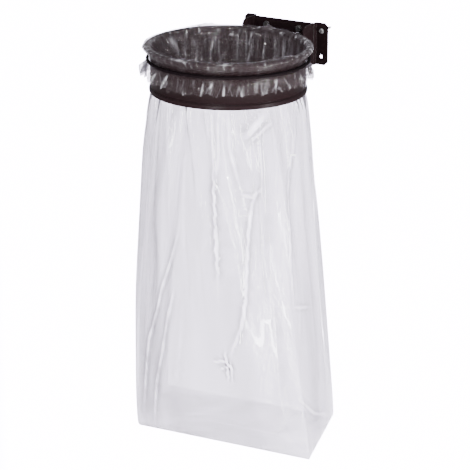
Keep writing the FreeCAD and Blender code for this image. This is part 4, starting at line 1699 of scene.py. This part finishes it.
@dataclass
class Fasteners:
    """Bolts, washers, nuts, wall screws and weld beads."""

    bright: bpy.types.Material
    # The darker zinc copy is painted shade for the fasteners on the bracket.
    shaded_zinc: bpy.types.Material
    paint: bpy.types.Material
    recipe: CopyRecipe
    pitch_x: float = 0.045
    rows: Pair = (0.003, -0.068)
    web_front: float = 0.0185
    panel_back: float = 0.013
    # Bolts and nuts
    flats: float = 0.013
    chamfer_deg: float = 30.0
    chamfer_start: float = 0.97
    chamfer_clear: float = 1.02
    chamfer_sides: int = 48
    head_height: float = 0.0053
    bolt_thread: Thread = Thread(0.004, 0.016, 0.00125)
    bolt_seed: int = 4
    nut_height: float = 0.0065
    nut_bore: float = 0.00405
    nut_cut: Pair = (-0.001, 0.008)
    nut_sides: int = 32
    nut_seed: int = 9
    hexagon_turn: float = math.pi / 3
    # Washers
    washer: float = 0.0016
    washer_bore: float = 0.0044
    washer_radius: float = 0.008
    washer_edge: float = 0.00025
    # Wall screws
    screw_x: float = 0.099
    screw_head: float = 0.0065
    screw_dome: float = 0.0038
    screw_seat: float = 0.0025
    screw_brim: float = 0.0012
    screw_pole: float = 0.0002
    dome_power: float = 0.8
    dome_steps: int = 10
    recess_arm: float = 0.0038
    recess_wide: float = 0.0010
    recess_deep: float = 0.0022
    recess_clear: float = 0.001
    screw_thread: Thread = Thread(0.003, 0.0525, 0.0024, 0.009)
    screw_turn: float = math.pi / 2
    screw_seed: int = 3
    # Weld beads
    weld_middle: float = 0.0835
    weld_rise: float = 0.0021
    weld_drop: tuple[Pair, ...] = ((0.0004, -0.0026), (0.0020, -0.0017), (0.0026, 0.0), (0.0020, 0.0017),
                                   (0.0004, 0.0026))
    weld_sides: int = 12
    weld_turn: float = 0.6
    weld_seed: int = 5

    def spots(self, along: float) -> list[Vector]:
        """The four bolt places at a distance along Y."""
        return [Vector((side * self.pitch_x, along, level)) for side in (-1, 1) for level in self.rows]

    def hexagon(self, length: float, name: str, both_ends: bool) -> bpy.types.Object:
        """A hexagon with the round chamfer that a head or nut has.

        Args:
            length: Its length along Y, from 0 to minus this.
            name: The object's name.
            both_ends: True if both faces are chamfered.

        Returns:
            The hexagon.
        """
        corner = self.flats / math.sqrt(3)
        prism = turned(name, [(corner, 0.0), (corner, -length)], sides=6)
        cone = corner * self.chamfer_clear
        flat = self.flats / 2 * self.chamfer_start
        slope = (cone - flat) * math.tan(math.radians(self.chamfer_deg))
        outline = [(flat, 0.0), (cone, -slope)] if both_ends else [(cone, 0.0)]
        outline += [(cone, slope - length), (flat, -length)]
        dome = turned("dome", outline, sides=self.chamfer_sides)
        return cut_away(prism, [dome], name, "INTERSECT")

    def build_bolts(self) -> None:
        """Make the four bolts."""
        head = self.hexagon(self.head_height, "bolt_head", both_ends=False)
        bolt = cut_away(head, [self.bolt_thread.build("bolt_shank")], "bolt", "UNION")
        spots = self.spots(-self.web_front - self.washer)
        bolts = self.recipe.set_copies("bracket_bolts_zinc", bolt, spots, self.shaded_zinc,
                                       self.hexagon_turn, self.bolt_seed)
        set_out(bolts, ["bracket_bolts"])

    def build_washers(self) -> None:
        """Make the four washers, with a small chamfer round the rim."""
        edge, rim = self.washer_edge, self.washer_radius
        section = [(self.washer_bore, -self.washer), (rim - edge, -self.washer), (rim, edge - self.washer),
                   (rim, -edge), (rim - edge, 0.0), (self.washer_bore, 0.0)]
        washer = self.closed_ring("washer", section)
        spots = self.spots(-self.web_front)
        washers = self.recipe.set_copies("bracket_washers_zinc", washer, spots, self.shaded_zinc)
        set_out(washers, ["bracket_washers"])

    def build_nuts(self) -> None:
        """Make the four nuts."""
        nut = self.hexagon(self.nut_height, "nut_blank", both_ends=True)
        nut.data.transform(Matrix.Translation((0, self.nut_height, 0)))
        bore = turned("bore", [(self.nut_bore, along) for along in self.nut_cut], sides=self.nut_sides)
        nut = cut_away(nut, [bore], "nut")
        nuts = self.recipe.set_copies("bracket_nuts_zinc", nut, self.spots(-self.panel_back), self.shaded_zinc,
                                      self.hexagon_turn, self.nut_seed)
        set_out(nuts, ["bracket_nuts"])

    @staticmethod
    def closed_ring(name: str, section: Sequence[Pair], sides: int = 40) -> bpy.types.Object:
        """Turn a closed section about the Y axis.

        Args:
            name: The object's name.
            section: Pairs of radius and place along Y.
            sides: Segments round the axis.

        Returns:
            The ring.
        """
        points, faces = [], []
        count = len(section)
        for side in range(sides):
            angle = 2 * math.pi * side / sides
            points += [(radius * math.cos(angle), along, radius * math.sin(angle))
                       for radius, along in section]
            this, following = side * count, ((side + 1) % sides) * count
            for index in range(count):
                above = (index + 1) % count
                faces.append((this + index, following + index, following + above, this + above))
        made = mesh_object(name, np.array(points), faces, smooth=False)
        face_outwards(made.data)
        return made

    def build_screws(self) -> None:
        """Make the two pan-head wall screws with a cross recess."""
        height, seat, brim = self.screw_dome, self.screw_seat, self.screw_brim
        dome = []
        for step in range(self.dome_steps + 1):
            turn = math.pi / 2 * step / self.dome_steps
            wide = max(self.screw_head * math.sin(turn) ** self.dome_power, self.screw_pole)
            dome.append((wide, -seat - brim - (height - brim) * math.cos(turn)))
        dome.append((self.screw_head, -seat))
        head = turned("screw_head", dome)
        low, high = -seat - height - self.recess_clear, -seat - height + self.recess_deep
        arm, wide = self.recess_arm, self.recess_wide
        cross = [block((-arm, low, -wide), (arm, high, wide)), block((-wide, low, -arm), (wide, high, arm))]
        head = cut_away(head, cross, "screw_head")
        shank = self.screw_thread.build("screw_shank")
        shank.data.transform(Matrix.Translation((0, -seat, 0)))
        screw = cut_away(head, [shank], "screw", "UNION")
        places = [Vector((side * self.screw_x, 0, 0)) for side in (-1, 1)]
        screws = self.recipe.set_copies("wall_screws_zinc", screw, places, self.bright,
                                        self.screw_turn, self.screw_seed)
        set_out(screws, ["wall_screws"])

    def build_welds(self, nodes: dict[str, bpy.types.Object]) -> None:
        """Make the weld beads as rows of overlapping drops.

        Args:
            nodes: The CAD nodes by name.
        """
        corners = np.array([vertex.co[:] for vertex in nodes["arm_welds"].data.vertices])
        inner = np.abs(corners[:, 0]) < self.weld_middle
        drops = []
        for sign in (-1, 1):
            for side in (~inner, inner):
                bead = corners[side & (corners[:, 0] * sign > 0)]
                middle = bead.mean(axis=0)
                low, high = bead[:, 2].min(), bead[:, 2].max()
                for step in range(int((high - low) / self.weld_rise)):
                    drops.append(Vector((middle[0], middle[1], low + self.weld_rise * (step + 0.5))))
        drop = turned("weld_drop", self.weld_drop, sides=self.weld_sides)
        drop.data.polygons.foreach_set("use_smooth", [True] * len(drop.data.polygons))
        beads = self.recipe.set_copies("arm_weld_beads", drop, drops, self.paint,
                                       self.weld_turn, self.weld_seed)
        set_out(beads, ["arm_welds"])


@dataclass(frozen=True)
class SoftLight:
    """One soft light, whose bearing is in degrees to the left of the camera, seen from the bag.

    Its height is over the origin, its distance is from the ring's axis, its size is its width and height, and
    its power is in watts. A level light faces the bag squarely and doesn't tilt to it.
    """

    name: str
    bearing: float
    height: float
    distance: float
    size: Pair
    power: float
    level: bool = True


@dataclass(frozen=True)
class Studio:
    """The pale floor, soft lights and the camera at the photograph's angle."""

    focus: Vector
    floor_level: float = -2.20
    floor_reach: float = 30.0
    focal: float = 2200.0
    frame: float = 470.0
    sensor: float = 36.0
    farthest: float = 60.0
    azimuth: float = CAMERA_BEARING
    pitch: float = 18.604
    roll: float = 0.31
    eye: Triple = (2.55985, -4.62424, 1.23614)
    sky_colour: Colour = (0.96, 0.94, 1.0)
    sky_strength: float = 0.5
    lights: tuple[SoftLight, ...] = (
        SoftLight("left_strip", 17.0, -0.75, 1.9, (0.06, 2.8), 70.0),
        SoftLight("right_strip", -58.0, -0.75, 1.9, (0.10, 2.8), 70.0),
        SoftLight("top_box", 10.0, 2.4, 1.4, (1.4, 0.9), 30.0, level=False),
    )

    def camera(self) -> None:
        """Set the camera where the photograph was taken from."""
        azimuth, pitch, roll = (math.radians(value) for value in (self.azimuth, self.pitch, self.roll))
        ahead = Vector((-math.sin(azimuth) * math.cos(pitch), math.cos(azimuth) * math.cos(pitch),
                        -math.sin(pitch)))
        right = Vector((math.cos(azimuth), math.sin(azimuth), 0))
        up = right.cross(ahead)
        tilted_right = right * math.cos(roll) + up * math.sin(roll)
        tilted_up = up * math.cos(roll) - right * math.sin(roll)
        data = bpy.data.cameras.new("camera")
        data.sensor_width = self.sensor
        data.lens = self.focal / self.frame * self.sensor
        data.clip_end = self.farthest
        camera = show(bpy.data.objects.new("camera", data))
        turn = Matrix((tilted_right, tilted_up, -ahead)).transposed().to_4x4()
        camera.matrix_world = Matrix.Translation(self.eye) @ turn
        bpy.context.scene.camera = camera

    def floor(self) -> None:
        """Lay the floor."""
        reach, level = self.floor_reach, self.floor_level
        corners = np.array([(-reach, -reach, level), (reach, -reach, level), (reach, reach, level),
                            (-reach, reach, level)])
        plane = show(mesh_object("floor", corners, [(0, 1, 2, 3)], smooth=False))
        plane.data.materials.append(FloorFinish().build())

    def light(self, wanted: SoftLight) -> None:
        """Hang one soft light that faces the bag.

        Args:
            wanted: The light's place, size and power.
        """
        data = bpy.data.lights.new(wanted.name, "AREA")
        data.shape = "RECTANGLE"
        data.size, data.size_y = wanted.size
        data.energy = wanted.power
        heading = math.radians(self.azimuth - 90.0 - wanted.bearing)
        spot = self.focus + Vector((math.cos(heading), math.sin(heading), 0)) * wanted.distance
        spot.z = wanted.height
        lamp = show(bpy.data.objects.new(wanted.name, data))
        lamp.location = spot
        lamp.rotation_mode = "QUATERNION"
        aim = Vector((self.focus.x, self.focus.y, wanted.height)) if wanted.level else self.focus
        lamp.rotation_quaternion = (aim - spot).to_track_quat("-Z", "Y")

    def sky(self) -> None:
        """Give the room an even white glow."""
        world = bpy.data.worlds.new("room")
        world.use_nodes = True
        bench = Bench(world.node_tree)
        feeds = {"Color": shade(self.sky_colour), "Strength": self.sky_strength}
        glow = bench.node("ShaderNodeBackground", None, feeds)
        bench.node("ShaderNodeOutputWorld", None, {"Surface": glow.outputs[0]})
        bpy.context.scene.world = world

    def build(self) -> None:
        """Set up the whole studio."""
        self.camera()
        self.floor()
        self.sky()
        for wanted in self.lights:
            self.light(wanted)


def main() -> None:
    """Build the studio, then the holder piece by piece."""
    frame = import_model()
    nodes = frame["nodes"]
    ring_low, ring_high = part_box("ring")
    crest = Vector(((ring_low.x + ring_high.x) / 2, (ring_low.y + ring_high.y) / 2, ring_high.z))
    Studio(focus=crest - Vector((0, 0, FOCUS_DROP))).build()
    paint = PaintFinish().build()
    bright = ZincFinish().build()
    # A darker copy of the zinc, as painted shade for the fasteners on the bracket.
    shaded_zinc = ZincFinish("dark_zinc", SHADED_ZINC_COLOUR, SHADED_ZINC_STAIN, DARK_ROUGHNESS).build()
    FoldedSteel(paint).build(nodes)
    Hoop(crest, paint, RubberFinish().build()).build(HoopRecipe())
    fasteners = Fasteners(bright, shaded_zinc, paint, CopyRecipe())
    fasteners.build_bolts()
    fasteners.build_washers()
    fasteners.build_nuts()
    fasteners.build_screws()
    fasteners.build_welds(nodes)
    BagFilm(crest, FilmFinish().build()).build()


if __name__ == "__main__":
    logging.basicConfig(level=logging.INFO)
    main()
